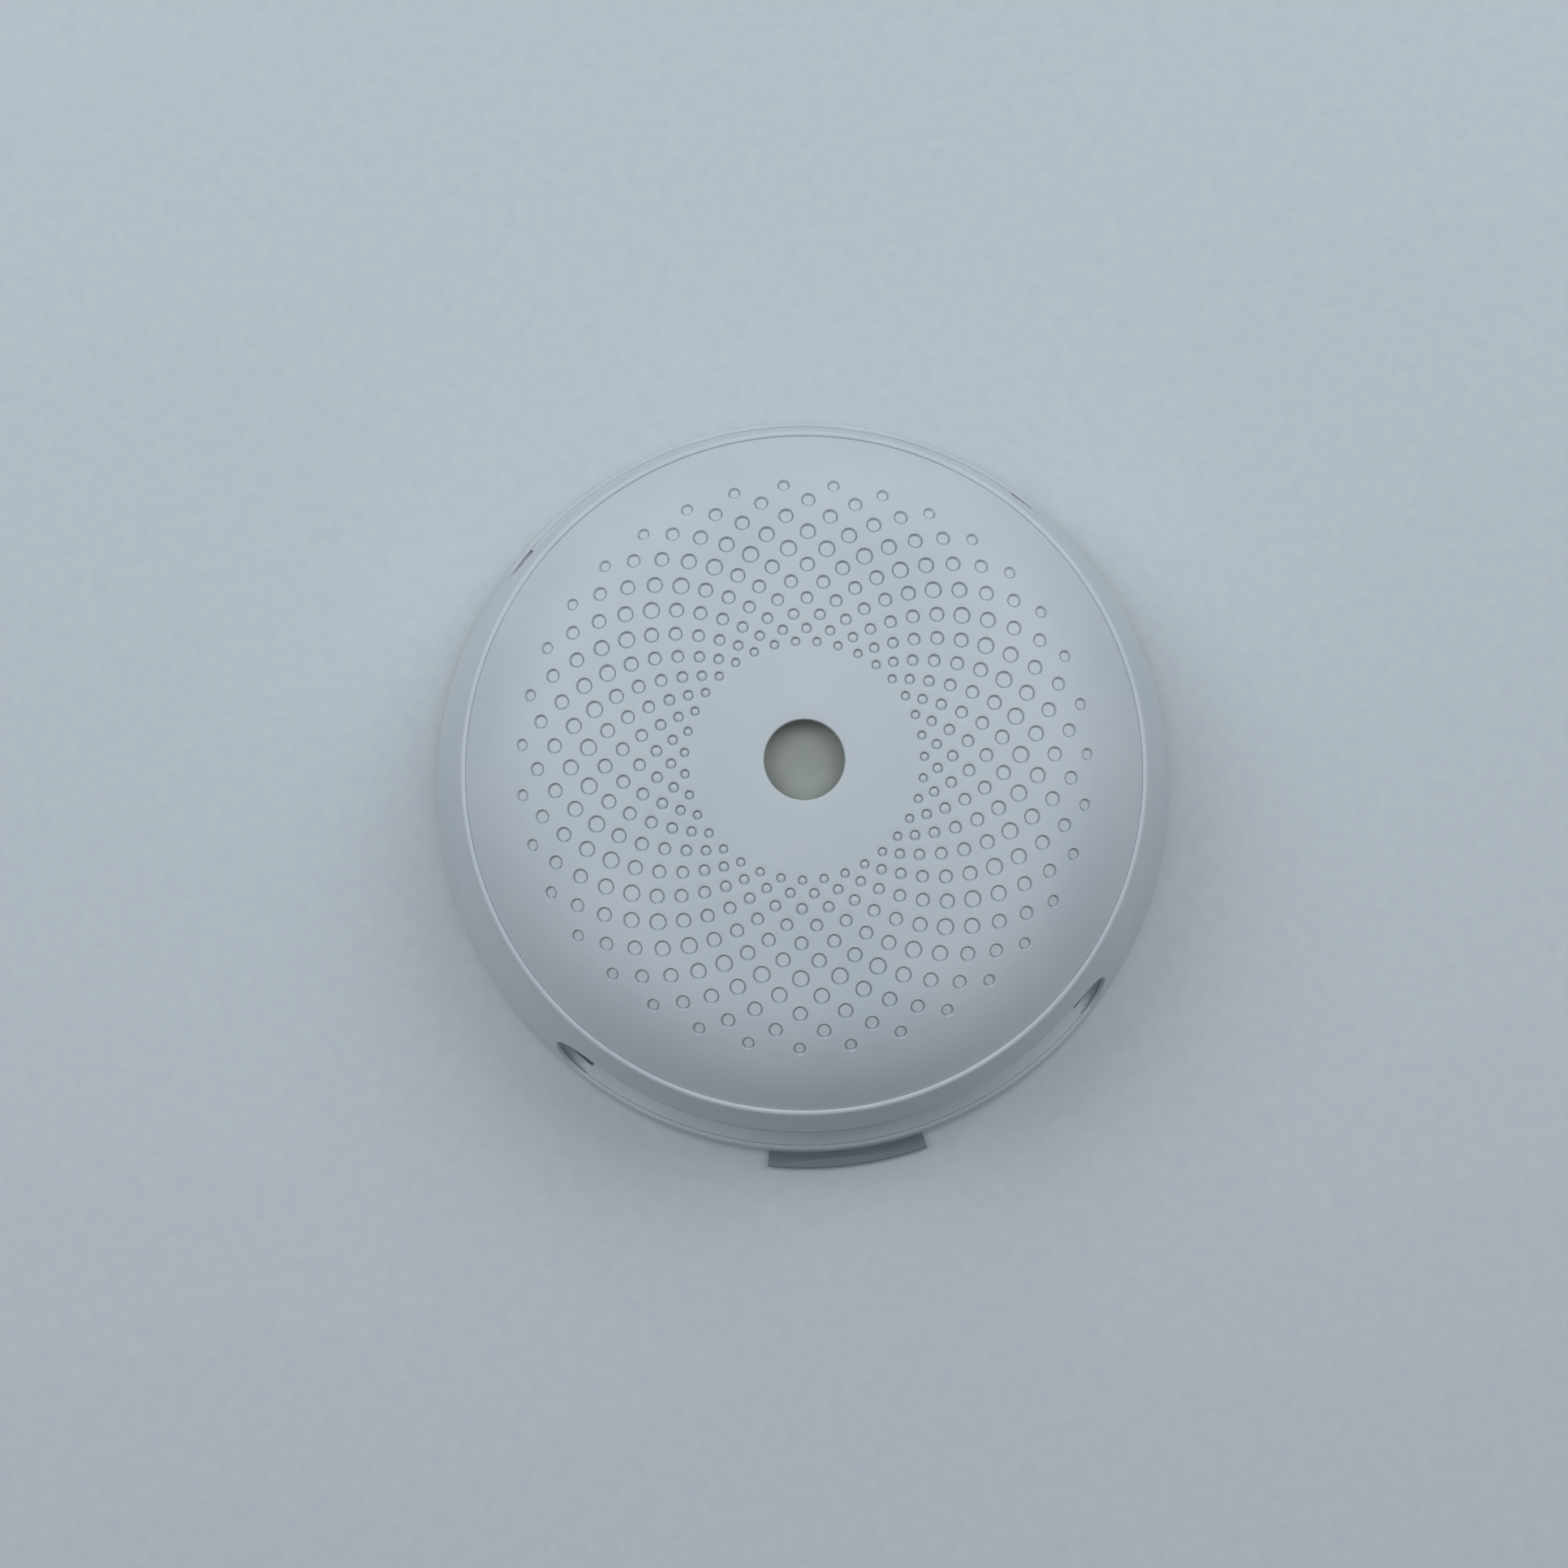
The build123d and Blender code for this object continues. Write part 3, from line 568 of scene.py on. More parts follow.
gauze = drawn_wire("stainless_gauze", GAUZE, GAUZE_SHADE, 0.34)
fit(screen, "detector", "insect_screen", gauze)


# ---- Infrared lamp and photodiode
# Two five millimetre optical parts in the chamber's holders: the lamp in clear epoxy and the diode in
# epoxy dyed nearly black, which only infrared light passes. Both are cast, so they are glossy.

LAMP_CLEAR = "#C6D3DD"
LAMP_DYED = "#1A1718"
MENISCUS = 1.5
MENISCUS_DEPTH = 0.02


def cast_epoxy(name, colour, values):
    """Cast epoxy: smooth and glossy, with the faint waviness of a meniscus."""
    made, tree, shader = finish(
        name, {"Base Color": linear(colour), "IOR": 1.52, "Roughness": 0.12, **values}
    )
    place = add(tree, "ShaderNodeTexCoord").outputs["Object"]
    wave = add(tree, "ShaderNodeTexNoise", {"Scale": 1 / (MENISCUS * MM), "Detail": 1.0}, {"Vector": place})
    bump = add(tree, "ShaderNodeBump", {"Distance": MENISCUS_DEPTH * MM}, {"Height": wave.outputs["Fac"]})
    tree.links.new(bump.outputs["Normal"], shader.inputs["Normal"])
    return made


clear_epoxy = cast_epoxy("clear_epoxy_cast", LAMP_CLEAR, {"Transmission Weight": 0.75})
dyed_epoxy = cast_epoxy("dyed_epoxy_cast", LAMP_DYED, {"Transmission Weight": 0.1})
infrared_lamp = moulding("infrared_led", 0.1)
fit(infrared_lamp, "detector", "infrared_led", clear_epoxy)
photodiode = moulding("photodiode", 0.1)
fit(photodiode, "detector", "photodiode", dyed_epoxy)


# ---- Sounder
# A shallow resonator cup moulded in black ABS, with a brass disc glued over it and a thin silvered
# ceramic plate on the disc; three light springs carry the drive signal down from the board.

SILVERED = "#C3BFB4"
SILVERED_SHADE = "#D2CFC7"
BRASS = "#C2A468"
BRASS_SHADE = "#AD8F56"
SOUNDER_X = 29.0
SOUNDER_Y = 3.5
DISC_TOP = 14.4
CERAMIC_TOP = 14.65
BOARD_UNDER = 23.0
CONTACTS = ((0, 0, CERAMIC_TOP), (5, -3, CERAMIC_TOP), (-11.0, 2.0, DISC_TOP))
CONTACT_R = 1.3
CONTACT_WIRE = 0.4
CONTACT_TURNS = 5

sounder_can = moulding("sounder_can", 0.18)
fit(sounder_can, "detector", "sounder_can", black_abs)

brass = plated("brass_rolled", BRASS, BRASS_SHADE, 0.3)
silvered = plated("silvered_ceramic", SILVERED, SILVERED_SHADE, 0.48)
piezo = moulding("piezo_disc", 0.05)
fit(piezo, "detector", "piezo_disc", brass)
paint_where(piezo, silvered, lambda face: face.center.z > (DISC_TOP + 0.03) * MM)

contact_set = []
for dx, dy, bottom in CONTACTS:
    one = coil_spring("sounder_contact", BOARD_UNDER - bottom, CONTACT_R, CONTACT_WIRE, CONTACT_TURNS)
    settle(one, (SOUNDER_X + dx, SOUNDER_Y + dy, bottom))
    contact_set.append(one)
sounder_springs = join("sounder_contact_springs", contact_set)
fit(sounder_springs, "detector", "sounder_springs", spring_steel)


# ---- Circuit board
# The round glass-epoxy board on its four posts, with its components towards the room.
# Green solder mask over copper: the tracks show through as slightly lighter, slightly raised lines.

MASK = "#1F5A3C"
MASK_TRACK = "#2C7350"
TRACK_PITCH = 2.4
TRACK_SHARE = 0.16
TRACK_FIELD = 9.0        # tracks run one way over about this many millimetres
TRACK_WAYS = 5.0
TRACK_DEPTH = 0.04
WAVE_TURN = 0.314        # a wave texture at scale 1 repeats every 0.314


def solder_mask(name):
    """Glossy mask, with runs of copper under it that stand a little proud of the board."""
    made, tree, shader = finish(name, {"IOR": 1.55, "Roughness": 0.3})
    place = add(tree, "ShaderNodeTexCoord").outputs["Object"]
    cells = add(
        tree, "ShaderNodeTexNoise", {"Scale": 1 / (TRACK_FIELD * MM), "Detail": 0.0}, {"Vector": place}
    )
    steps = add(tree, "ShaderNodeMath", {"operation": "MULTIPLY", 1: TRACK_WAYS}, {0: cells.outputs["Fac"]})
    whole = add(tree, "ShaderNodeMath", {"operation": "ROUND"}, {0: steps.outputs[0]})
    lean = add(tree, "ShaderNodeMapping", {}, {"Vector": place})
    turn = add(tree, "ShaderNodeMath", {"operation": "MULTIPLY", 1: math.pi / 4}, {0: whole.outputs[0]})
    spin = add(tree, "ShaderNodeCombineXYZ", {}, {"Z": turn.outputs[0]})
    tree.links.new(spin.outputs["Vector"], lean.inputs["Rotation"])
    waves = add(
        tree, "ShaderNodeTexWave",
        {
            "wave_type": "BANDS", "bands_direction": "X",
            "Scale": WAVE_TURN / (TRACK_PITCH * MM), "Distortion": 0.0,
        },
        {"Vector": lean.outputs["Vector"]},
    )
    track = two_tone(
        tree, waves.outputs["Fac"], MASK, MASK_TRACK, 1 - TRACK_SHARE - 0.03, 1 - TRACK_SHARE
    )
    bump = add(tree, "ShaderNodeBump", {"Distance": TRACK_DEPTH * MM}, {"Height": track})
    tree.links.new(track, shader.inputs["Base Color"])
    tree.links.new(bump.outputs["Normal"], shader.inputs["Normal"])
    return made


board = moulding("circuit_board", 0.06)
fit(board, "detector", "circuit_board", solder_mask("green_solder_mask"))


# ---- Screws
# Small pan-head screws with cross recesses: four hold the board, four close the case from behind.
# Cold-headed steel with a bright zinc plating.

ZINC = "#B9BDC2"
ZINC_SHADE = "#A2A8AF"

zinc = plated("bright_zinc_plate", ZINC, ZINC_SHADE, 0.28)
for node in ("board_screws", "case_screws"):
    screws = moulding(node, 0.06)
    fit(screws, "detector", node, zinc)


# ---- Components on the board
# Chip and switch in black epoxy with tinned legs, aluminium capacitors in plastic sleeves, ceramic
# blocks and the sounder's coil: bought-in parts, soldered to the board.

EPOXY = "#1B1C1E"
EPOXY_SHADE = "#232527"
CERAMIC = "#A98B62"
CERAMIC_SHADE = "#94764F"
CAN_SLEEVE = "#23262E"
CAN_SLEEVE_SHADE = "#292D36"
CAN_METAL = "#C4C6C8"
CAN_METAL_SHADE = "#B1B4B7"
BOARD_FACE = 24.6
LEG_TOP = BOARD_FACE + 0.36
CAN_SHOULDER = 6.55
BLOCK_TOP = 1.2

resin = moulded_abs("moulded_epoxy", EPOXY, EPOXY_SHADE, 0.5)
tin = plated("tinned_legs", ZINC, CAN_METAL_SHADE, 0.34)
chip = moulding("controller_chip", 0.05)
fit(chip, "detector", "controller_chip", resin)
paint_where(chip, tin, lambda face: face.center.z < LEG_TOP * MM)

switch = moulding("tactile_switch", 0.12)
fit(switch, "detector", "tactile_switch", resin)

can_sleeve = moulded_abs("capacitor_sleeve", CAN_SLEEVE, CAN_SLEEVE_SHADE, 0.3, 0.003)
aluminium = plated("drawn_aluminium", CAN_METAL, CAN_METAL_SHADE, 0.32)
cans = moulding("capacitors", 0.12)
fit(cans, "detector", "capacitors", aluminium)
paint_where(cans, can_sleeve, lambda face: face.center.z < (BOARD_FACE + CAN_SHOULDER) * MM
            and abs(face.normal.z) < 0.7)

ceramic = moulded_abs("fired_ceramic", CERAMIC, CERAMIC_SHADE, 0.4, 0.004)
blocks = moulding("board_components", 0.08)
fit(blocks, "detector", "board_components", ceramic)
paint_where(blocks, resin, lambda face: face.center.z > (BOARD_FACE + BLOCK_TOP) * MM or
            (abs(face.normal.z) < 0.5 and face.area > 4 * MM * MM))


# ---- Button guide and status lamp
# A black turret round the switch, which guides the button's stem and carries its spring, and beside it
# a small red lamp in dyed epoxy that shines up through the button.

LAMP_RED = "#8E1F1C"

guide = moulding("button_guide", 0.12)
fit(guide, "detector", "button_guide", black_abs)
red_epoxy = cast_epoxy("red_epoxy_cast", LAMP_RED, {"Transmission Weight": 0.35})
lamp = moulding("status_led", 0.1)
fit(lamp, "detector", "status_led", red_epoxy)


# ---- Outer housing
# The flared wall with a rounded rim round the cover, a long inlet window on each side and four screw
# posts. Turned here as one closed section; each window is cut with a rebate behind its rounded edge,
# where the ramp is let in.

RIM_IN = 50.55
RIM_TOP = 25.85
RIM_INNER_ROUND = 0.3
RIM_OUTER_ROUND = 0.62
WALL_LEAN = 21.0
FOOT_R = 60.6
FOOT_Z = 2.0
WALL = 2.3
SHELF_R = 48.2
SHELF_BOTTOM = 20.6
SHELF_TOP = 22.2
HOUSING_SIDES = 240
WINDOW_ANGLES = (270, 90)
WINDOW_HALF_ANGLE = 49.2
WINDOW_BOTTOM = 4.0
WINDOW_TOP = 15.6
WINDOW_STRIPS = 56
REBATE = 0.65
REBATE_DEPTH = 0.64
WINDOW_CORNERS = 48
CUT_DEPTH = 6.0
POST_ANGLES = (25, 155, 205, 335)
POST_RING_R = 48.3
POST_R = 3.2
POST_BORE = 1.1
POST_BOTTOM = 9.3
WEB_PLACE = (2.6, 0, 15.0)
WEB_SIZE = (3.0, 1.6, 11.0)


rim = arc(RIM_IN + RIM_INNER_ROUND, RIM_TOP - RIM_INNER_ROUND, RIM_INNER_ROUND, 180, 90, 5)
rim += arc(RIM_IN + RIM_INNER_ROUND, RIM_TOP - RIM_OUTER_ROUND, RIM_OUTER_ROUND, 78, WALL_LEAN, 6)


def wall_radius(height):
    """Outer radius of the flared wall at a height."""
    top_r, top_z = rim[-1]
    return top_r + (top_z - height) / (top_z - FOOT_Z) * (FOOT_R - top_r)


def window_cutter(middle):
    """A slot with round ends, stood against the wall's cone and flared a little at the outer face."""
    half_height = (WINDOW_TOP - WINDOW_BOTTOM) / 2
    level = (WINDOW_TOP + WINDOW_BOTTOM) / 2
    reach = wall_radius(level)
    half_run = math.radians(WINDOW_HALF_ANGLE) * reach - half_height
    start_alone()
    bpy.ops.mesh.primitive_circle_add(
        vertices=WINDOW_CORNERS, radius=(half_height + REBATE) * MM, fill_type="NGON",
        location=(0, 0, level * MM), rotation=(math.radians(90), 0, 0),
    )
    cutter = bpy.context.object
    turn = math.radians(360 / WINDOW_CORNERS / 2)
    cutter.rotation_euler.rotate_axis("Z", turn)
    bpy.ops.object.transform_apply(location=True, rotation=True, scale=True)
    for vertex in cutter.data.vertices:
        vertex.co.x += math.copysign(half_run * MM, vertex.co.x)
    bpy.ops.object.mode_set(mode="EDIT")
    for k in range(1, WINDOW_STRIPS):
        across = half_run * MM * (2 * k / WINDOW_STRIPS - 1)
        bpy.ops.mesh.select_all(action="SELECT")
        bpy.ops.mesh.bisect(plane_co=(across, 0, 0), plane_no=(1, 0, 0))
    bpy.ops.mesh.select_mode(type="FACE")
    bpy.ops.mesh.select_all(action="SELECT")
    # each step: depth below the wall's face, and how far the outline has opened
    steps = (
        (REBATE_DEPTH, REBATE), (REBATE_DEPTH - 0.01, 0.0),
        (0.26, 0.0), (0.11, 0.05), (0.03, 0.14), (-0.015, 0.27), (-3.0, 0.28),
    )
    for vertex in bmesh.from_edit_mesh(cutter.data).verts:
        vertex.co.y = CUT_DEPTH * MM
    for depth, opened in steps:
        bpy.ops.mesh.extrude_region_move()
        mesh = bmesh.from_edit_mesh(cutter.data)
        for vertex in mesh.verts:
            if vertex.select:
                spine = max(-half_run, min(half_run, vertex.co.x / MM))
                way = Vector((vertex.co.x / MM - spine, vertex.co.z / MM - level)).normalized()
                vertex.co.x = (spine + way.x * (half_height + opened)) * MM
                vertex.co.z = (level + way.y * (half_height + opened)) * MM
                vertex.co.y = depth * MM
        bmesh.update_edit_mesh(cutter.data)
    bpy.ops.object.mode_set(mode="OBJECT")
    for vertex in cutter.data.vertices:
        angle = math.radians(middle) + vertex.co.x / MM / reach
        out = wall_radius(vertex.co.z / MM) * MM - vertex.co.y
        vertex.co.x = out * math.cos(angle)
        vertex.co.y = out * math.sin(angle)
    bpy.ops.object.mode_set(mode="EDIT")
    bpy.ops.mesh.select_all(action="SELECT")
    bpy.ops.mesh.normals_make_consistent(inside=False)
    bpy.ops.object.mode_set(mode="OBJECT")
    return cutter


housing = turned("outer_housing_shell", [
    (RIM_IN, SHELF_TOP),
    *rim,
    (wall_radius(FOOT_Z + 0.25), FOOT_Z + 0.25),
    (FOOT_R - 0.03, FOOT_Z + 0.08),
    (FOOT_R - 0.12, FOOT_Z),
    (FOOT_R - WALL, FOOT_Z),
    (wall_radius(SHELF_BOTTOM) - WALL, SHELF_BOTTOM),
    (SHELF_R + 0.2, SHELF_BOTTOM),
    (SHELF_R, SHELF_BOTTOM + 0.2),
    (SHELF_R, SHELF_TOP - 0.2),
    (SHELF_R + 0.2, SHELF_TOP),
], HOUSING_SIDES, closed=True)
for angle in WINDOW_ANGLES:
    cutter = window_cutter(angle)
    start_alone()
    bpy.context.view_layer.objects.active = housing
    housing.select_set(True)
    apply_modifier(housing, "BOOLEAN", {"operation": "DIFFERENCE", "object": cutter, "solver": "EXACT"})
    bpy.data.objects.remove(cutter)

posts = []
for angle in POST_ANGLES:
    post = turned("screw_post", [
        (POST_BORE, POST_BOTTOM),
        (POST_R - 0.3, POST_BOTTOM),
        (POST_R, POST_BOTTOM + 0.3),
        (POST_R, SHELF_BOTTOM + 0.3),
        (POST_BORE, SHELF_BOTTOM + 0.3),
    ], 40, closed=True)
    start_alone()
    bpy.ops.mesh.primitive_cube_add(size=MM, location=Vector(WEB_PLACE) * MM)
    web = bpy.context.object
    web.scale = WEB_SIZE
    bpy.ops.object.transform_apply(location=True, rotation=True, scale=True)
    round_edges(web, 0.2)
    post = join("screw_post", [post, web])
    radians = math.radians(angle)
    settle(post, (POST_RING_R * math.cos(radians), POST_RING_R * math.sin(radians), 0), (0, 0, angle))
    posts.append(post)
housing = join("outer_housing_shell", [housing, *posts])
smooth(housing, 50)
fit(housing, "detector", "outer_housing", white_abs)


# ---- Inlet ramps
# A curved scoop behind each window: a flat sill that the lower half of the window shows, then a slope
# that leads the air up onto the back plate. Moulded in the same white ABS and clipped in.

ramps = moulding("inlet_ramps", 0.05)
fit(ramps, "detector", "inlet_ramps", white_abs)


# ---- Front cover
# A shallow dome with 385 blind round dimples in 11 staggered rings and a hole over the test button.
# Moulded in the housing's white ABS; it snaps onto the housing's shelf with four hooks. Each dimple's
# floor lies just below the dome, inside a narrow groove that draws a crisp ring.

CROWN_Z = 36.785
CROWN_RADIUS = 245.8
SHOULDER_START = 34.3
SHOULDER_RADIUS = 26.2
CAP_R = 50.5
CAP_WALL = 2.0
RIM_ROUND = 0.1
HOLE_R = 5.75
MOUTH_ROUND = 0.2
HOLE_LIP = 1.0
GUIDE_IN = 7.6
GUIDE_OUT = 8.8
GUIDE_BOTTOM = 31.2
SKIRT_IN = CAP_R - 1.9
UNDERSIDE_IN = 10.0
DIMPLES_PER_RING = 35
DIMPLE_RINGS = 11
FIRST_DIMPLE_R = 0.7
DIMPLE_R_GROWTH = 0.085
WIDEST_DIMPLE_R = 1.28
DIMPLE_R_SHRINK = 0.0725
LAST_DIMPLE_R = 0.925
GROOVE_DEPTH = 0.7
FLOOR_DEPTH = 0.2
LAND = 0.09
HOOK_PLACE = (47.5, 0, 21.8)
HOOK_SIZE = (1.1, 7.8, 4.8)
WIDEST_RING = 6
FIRST_RING_R = 17.1
FIRST_RING_STEP = 1.9
RING_STEP_GROWTH = 0.24
LARGEST_RING_STEP = 2.5
SPOKES = 2 * DIMPLES_PER_RING
SPOKE_STEP = 2 * math.pi / SPOKES

turn_angle = math.asin(SHOULDER_START / CROWN_RADIUS)
shoulder_r = SHOULDER_START - SHOULDER_RADIUS * math.sin(turn_angle)
shoulder_z = CROWN_Z - CROWN_RADIUS + (CROWN_RADIUS - SHOULDER_RADIUS) * math.cos(turn_angle)


def dome_z(radius, inset=0.0):
    """Height of the dome at a radius, on its outer face or a wall's thickness below it."""
    if radius <= SHOULDER_START - inset * math.sin(turn_angle):
        return CROWN_Z - CROWN_RADIUS + math.sqrt((CROWN_RADIUS - inset) ** 2 - radius ** 2)
    return shoulder_z + math.sqrt((SHOULDER_RADIUS - inset) ** 2 - (radius - shoulder_r) ** 2)


def dome_lean(radius):
    """Angle between the dome's outward normal and Z at a radius."""
    if radius <= SHOULDER_START:
        return math.asin(radius / CROWN_RADIUS)
    return math.asin((radius - shoulder_r) / SHOULDER_RADIUS)


def dimple_radius(ring):
    """Dimples grow from ring to ring, are widest in one ring and shrink again outwards."""
    if ring < WIDEST_RING:
        return FIRST_DIMPLE_R + DIMPLE_R_GROWTH * ring
    if ring < DIMPLE_RINGS - 1:
        return WIDEST_DIMPLE_R - DIMPLE_R_SHRINK * (ring - WIDEST_RING)
    return LAST_DIMPLE_R


ring_radii = [FIRST_RING_R - FIRST_RING_STEP, FIRST_RING_R]
for ring in range(DIMPLE_RINGS):
    ring_radii.append(ring_radii[-1] + min(LARGEST_RING_STEP, FIRST_RING_STEP + RING_STEP_GROWTH * ring))


def lattice_place(point):
    """Ring and spoke of a point on the flat web; the rings of dimples count from 0."""
    radius = math.hypot(point.x, point.y) / MM
    ring = min(range(len(ring_radii)), key=lambda k: abs(ring_radii[k] - radius)) - 1
    return ring, round(math.atan2(point.y, point.x) / SPOKE_STEP)


def holds_dimple(point):
    """Every other crossing of a ring and a spoke holds a dimple, staggered from ring to ring."""
    ring, spoke = lattice_place(point)
    return (ring + spoke) % 2 == 1


def shape_dimples(spread, depth):
    """Puts the selected 16-sided faces' corners on circles, wider than the dimple by the spread."""
    mesh = bmesh.from_edit_mesh(cap.data)
    for face in mesh.faces:
        if not face.select:
            continue
        ring, spoke = lattice_place(face.calc_center_median())
        angle = spoke * SPOKE_STEP
        out = Vector((math.cos(angle), math.sin(angle), 0))
        side = Vector((-out.y, out.x, 0))
        radius = (dimple_radius(ring) + spread) * MM
        corners = list(face.verts)
        start = max(range(len(corners)), key=lambda k: corners[k].co.dot(out))
        step = math.copysign(2 * math.pi / len(corners), face.normal.z)
        for k in range(len(corners)):
            turn = step * k
            spot = out * (ring_radii[ring + 1] * MM + radius * math.cos(turn))
            spot += side * radius * math.sin(turn)
            corners[(start + k) % len(corners)].co = (spot.x, spot.y, -depth * MM)
    bmesh.update_edit_mesh(cap.data)


# the web of rings and spokes, laid flat: crossings that hold a dimple are dissolved into diamonds
cap = first_ring("front_cap_cover", ring_radii[0], 0, SPOKES)
for radius in ring_radii[1:]:
    next_ring(radius, 0)
select_where(cap, "verts", lambda vertex: not holds_dimple(vertex.co))
bpy.ops.mesh.vert_connect()
select_where(cap, "verts", lambda vertex: holds_dimple(vertex.co)
             and 0 <= lattice_place(vertex.co)[0] < DIMPLE_RINGS)
bpy.ops.mesh.dissolve_verts()
# each side of a diamond is cut in four, and its inside is one 16-sided face again
bpy.ops.mesh.select_all(action="SELECT")
bpy.ops.mesh.normals_make_consistent(inside=False)
bpy.ops.mesh.mark_seam()
bpy.ops.mesh.subdivide(number_cuts=3)
select_where(cap, "verts", lambda vertex: not any(edge.seam for edge in vertex.link_edges))
bpy.ops.mesh.dissolve_verts()
# every dimple goes down in steps: its sharp mouth, the groove's two walls, and its floor
select_where(cap, "faces", lambda face: len(face.verts) == 16)
bpy.ops.mesh.inset(thickness=0.1 * MM, use_individual=True)
shape_dimples(LAND, 0.0)
for spread, depth in (
    (0.015, 0.015), (-0.02, GROOVE_DEPTH - 0.02), (-0.18, GROOVE_DEPTH),
    (-0.28, FLOOR_DEPTH + 0.04), (-0.33, FLOOR_DEPTH),
):
    bpy.ops.mesh.inset(thickness=0.02 * MM, use_individual=True)
    shape_dimples(spread, depth)
# the flat web is laid over the dome, each depth square to it
bpy.ops.mesh.select_all(action="SELECT")
bpy.ops.mesh.mark_seam(clear=True)
mesh = bmesh.from_edit_mesh(cap.data)
edge_low, edge_high = ring_radii[0] * MM, ring_radii[-1] * MM
for vertex in mesh.verts:
    flat = math.hypot(vertex.co.x, vertex.co.y)
    angle = math.atan2(vertex.co.y, vertex.co.x)
    if vertex.is_boundary:
        flat = edge_low if flat < (edge_low + edge_high) / 2 else edge_high
    lean = dome_lean(flat / MM)
    out = flat + vertex.co.z * math.sin(lean)
    height = dome_z(flat / MM) * MM + vertex.co.z * math.cos(lean)
    vertex.co = (out * math.cos(angle), out * math.sin(angle), height)
bmesh.update_edit_mesh(cap.data)
# from the web's outer edge the shell goes over the rim, under the dome and up through the hole
select_where(cap, "edges", lambda edge: edge.is_boundary
             and all(math.hypot(v.co.x, v.co.y) > 0.99 * edge_high for v in edge.verts))
rim_z = dome_z(CAP_R - RIM_ROUND)
outer_steps = [CAP_R - RIM_ROUND - (CAP_R - RIM_ROUND - ring_radii[-1]) * (1 - k / 4) for k in range(1, 4)]
under_steps = [SKIRT_IN - (SKIRT_IN - UNDERSIDE_IN) * k / 9 for k in range(10)]
shell = [(radius, dome_z(radius)) for radius in outer_steps]
shell += arc(CAP_R - RIM_ROUND, rim_z - RIM_ROUND * 0.8, RIM_ROUND, 58, 0, 4)
shell += [(CAP_R, SHELF_TOP + 0.2), (CAP_R - 0.2, SHELF_TOP), (SKIRT_IN + 0.2, SHELF_TOP)]
shell += [(SKIRT_IN, SHELF_TOP + 0.2)]
shell += [(radius, dome_z(radius, CAP_WALL)) for radius in under_steps]
shell += [(GUIDE_OUT, dome_z(GUIDE_OUT, CAP_WALL)), (GUIDE_OUT, GUIDE_BOTTOM + 0.2)]
shell += [(GUIDE_OUT - 0.2, GUIDE_BOTTOM), (GUIDE_IN + 0.2, GUIDE_BOTTOM), (GUIDE_IN, GUIDE_BOTTOM + 0.2)]
shell += [(GUIDE_IN, dome_z(GUIDE_IN, HOLE_LIP)), (HOLE_R + 0.15, dome_z(HOLE_R, HOLE_LIP))]
shell += [(HOLE_R, dome_z(HOLE_R, HOLE_LIP) + 0.15)]
shell += arc(HOLE_R + MOUTH_ROUND, dome_z(HOLE_R) - MOUTH_ROUND, MOUTH_ROUND, 180, 92, 5)
shell += [(radius, dome_z(radius)) for radius in (8.0, 10.4, 12.8)]
shell += [(ring_radii[0], dome_z(ring_radii[0]))]
for radius, height in shell:
    next_ring(radius, height)
bpy.ops.mesh.select_all(action="SELECT")
bpy.ops.mesh.remove_doubles(threshold=0.003 * MM)
bpy.ops.mesh.normals_make_consistent(inside=False)
bpy.ops.object.mode_set(mode="OBJECT")
# four snap hooks stand under the rim and reach behind the housing's shelf
hooks = [cap]
for angle in (0, 90, 180, 270):
    start_alone()
    bpy.ops.mesh.primitive_cube_add(size=MM, location=Vector(HOOK_PLACE) * MM)
    hook = bpy.context.object
    hook.scale = HOOK_SIZE
    bpy.ops.object.transform_apply(location=True, rotation=True, scale=True)
    bpy.ops.object.mode_set(mode="EDIT")
    select_where(hook, "faces", lambda face: face.normal.z < -0.5)
    bpy.ops.mesh.inset(thickness=0.25 * MM)
    bpy.ops.transform.translate(value=(0, 0, -0.2 * MM))
    bpy.ops.object.mode_set(mode="OBJECT")
    round_edges(hook, 0.12)
    settle(hook, (0, 0, 0), (0, 0, angle))
    hooks.append(hook)
cap = join("front_cap_cover", hooks)
smooth(cap, 60)
fit(cap, "detector", "front_cap", white_abs)


# ---- Test button
# A translucent grey-green disc behind the cover's hole, slightly crowned, with a stem that goes down
# to the switch. Moulded in tinted ABS that the status lamp shines through.

BUTTON_TINT = "#B6B8AF"
BUTTON_TINT_SHADE = "#AFB1A8"
BUTTON_R = 7.2
BUTTON_TOP = 33.9
BUTTON_BOTTOM = 32.7
STEM_R = 2.2
STEM_BOTTOM = 28.5
CROWN = 0.3
CROWN_R = 6.4
BUTTON_GRAIN = 0.3
BUTTON_GRAIN_DEPTH = 0.003
BUTTON_DRIFT = 4.0


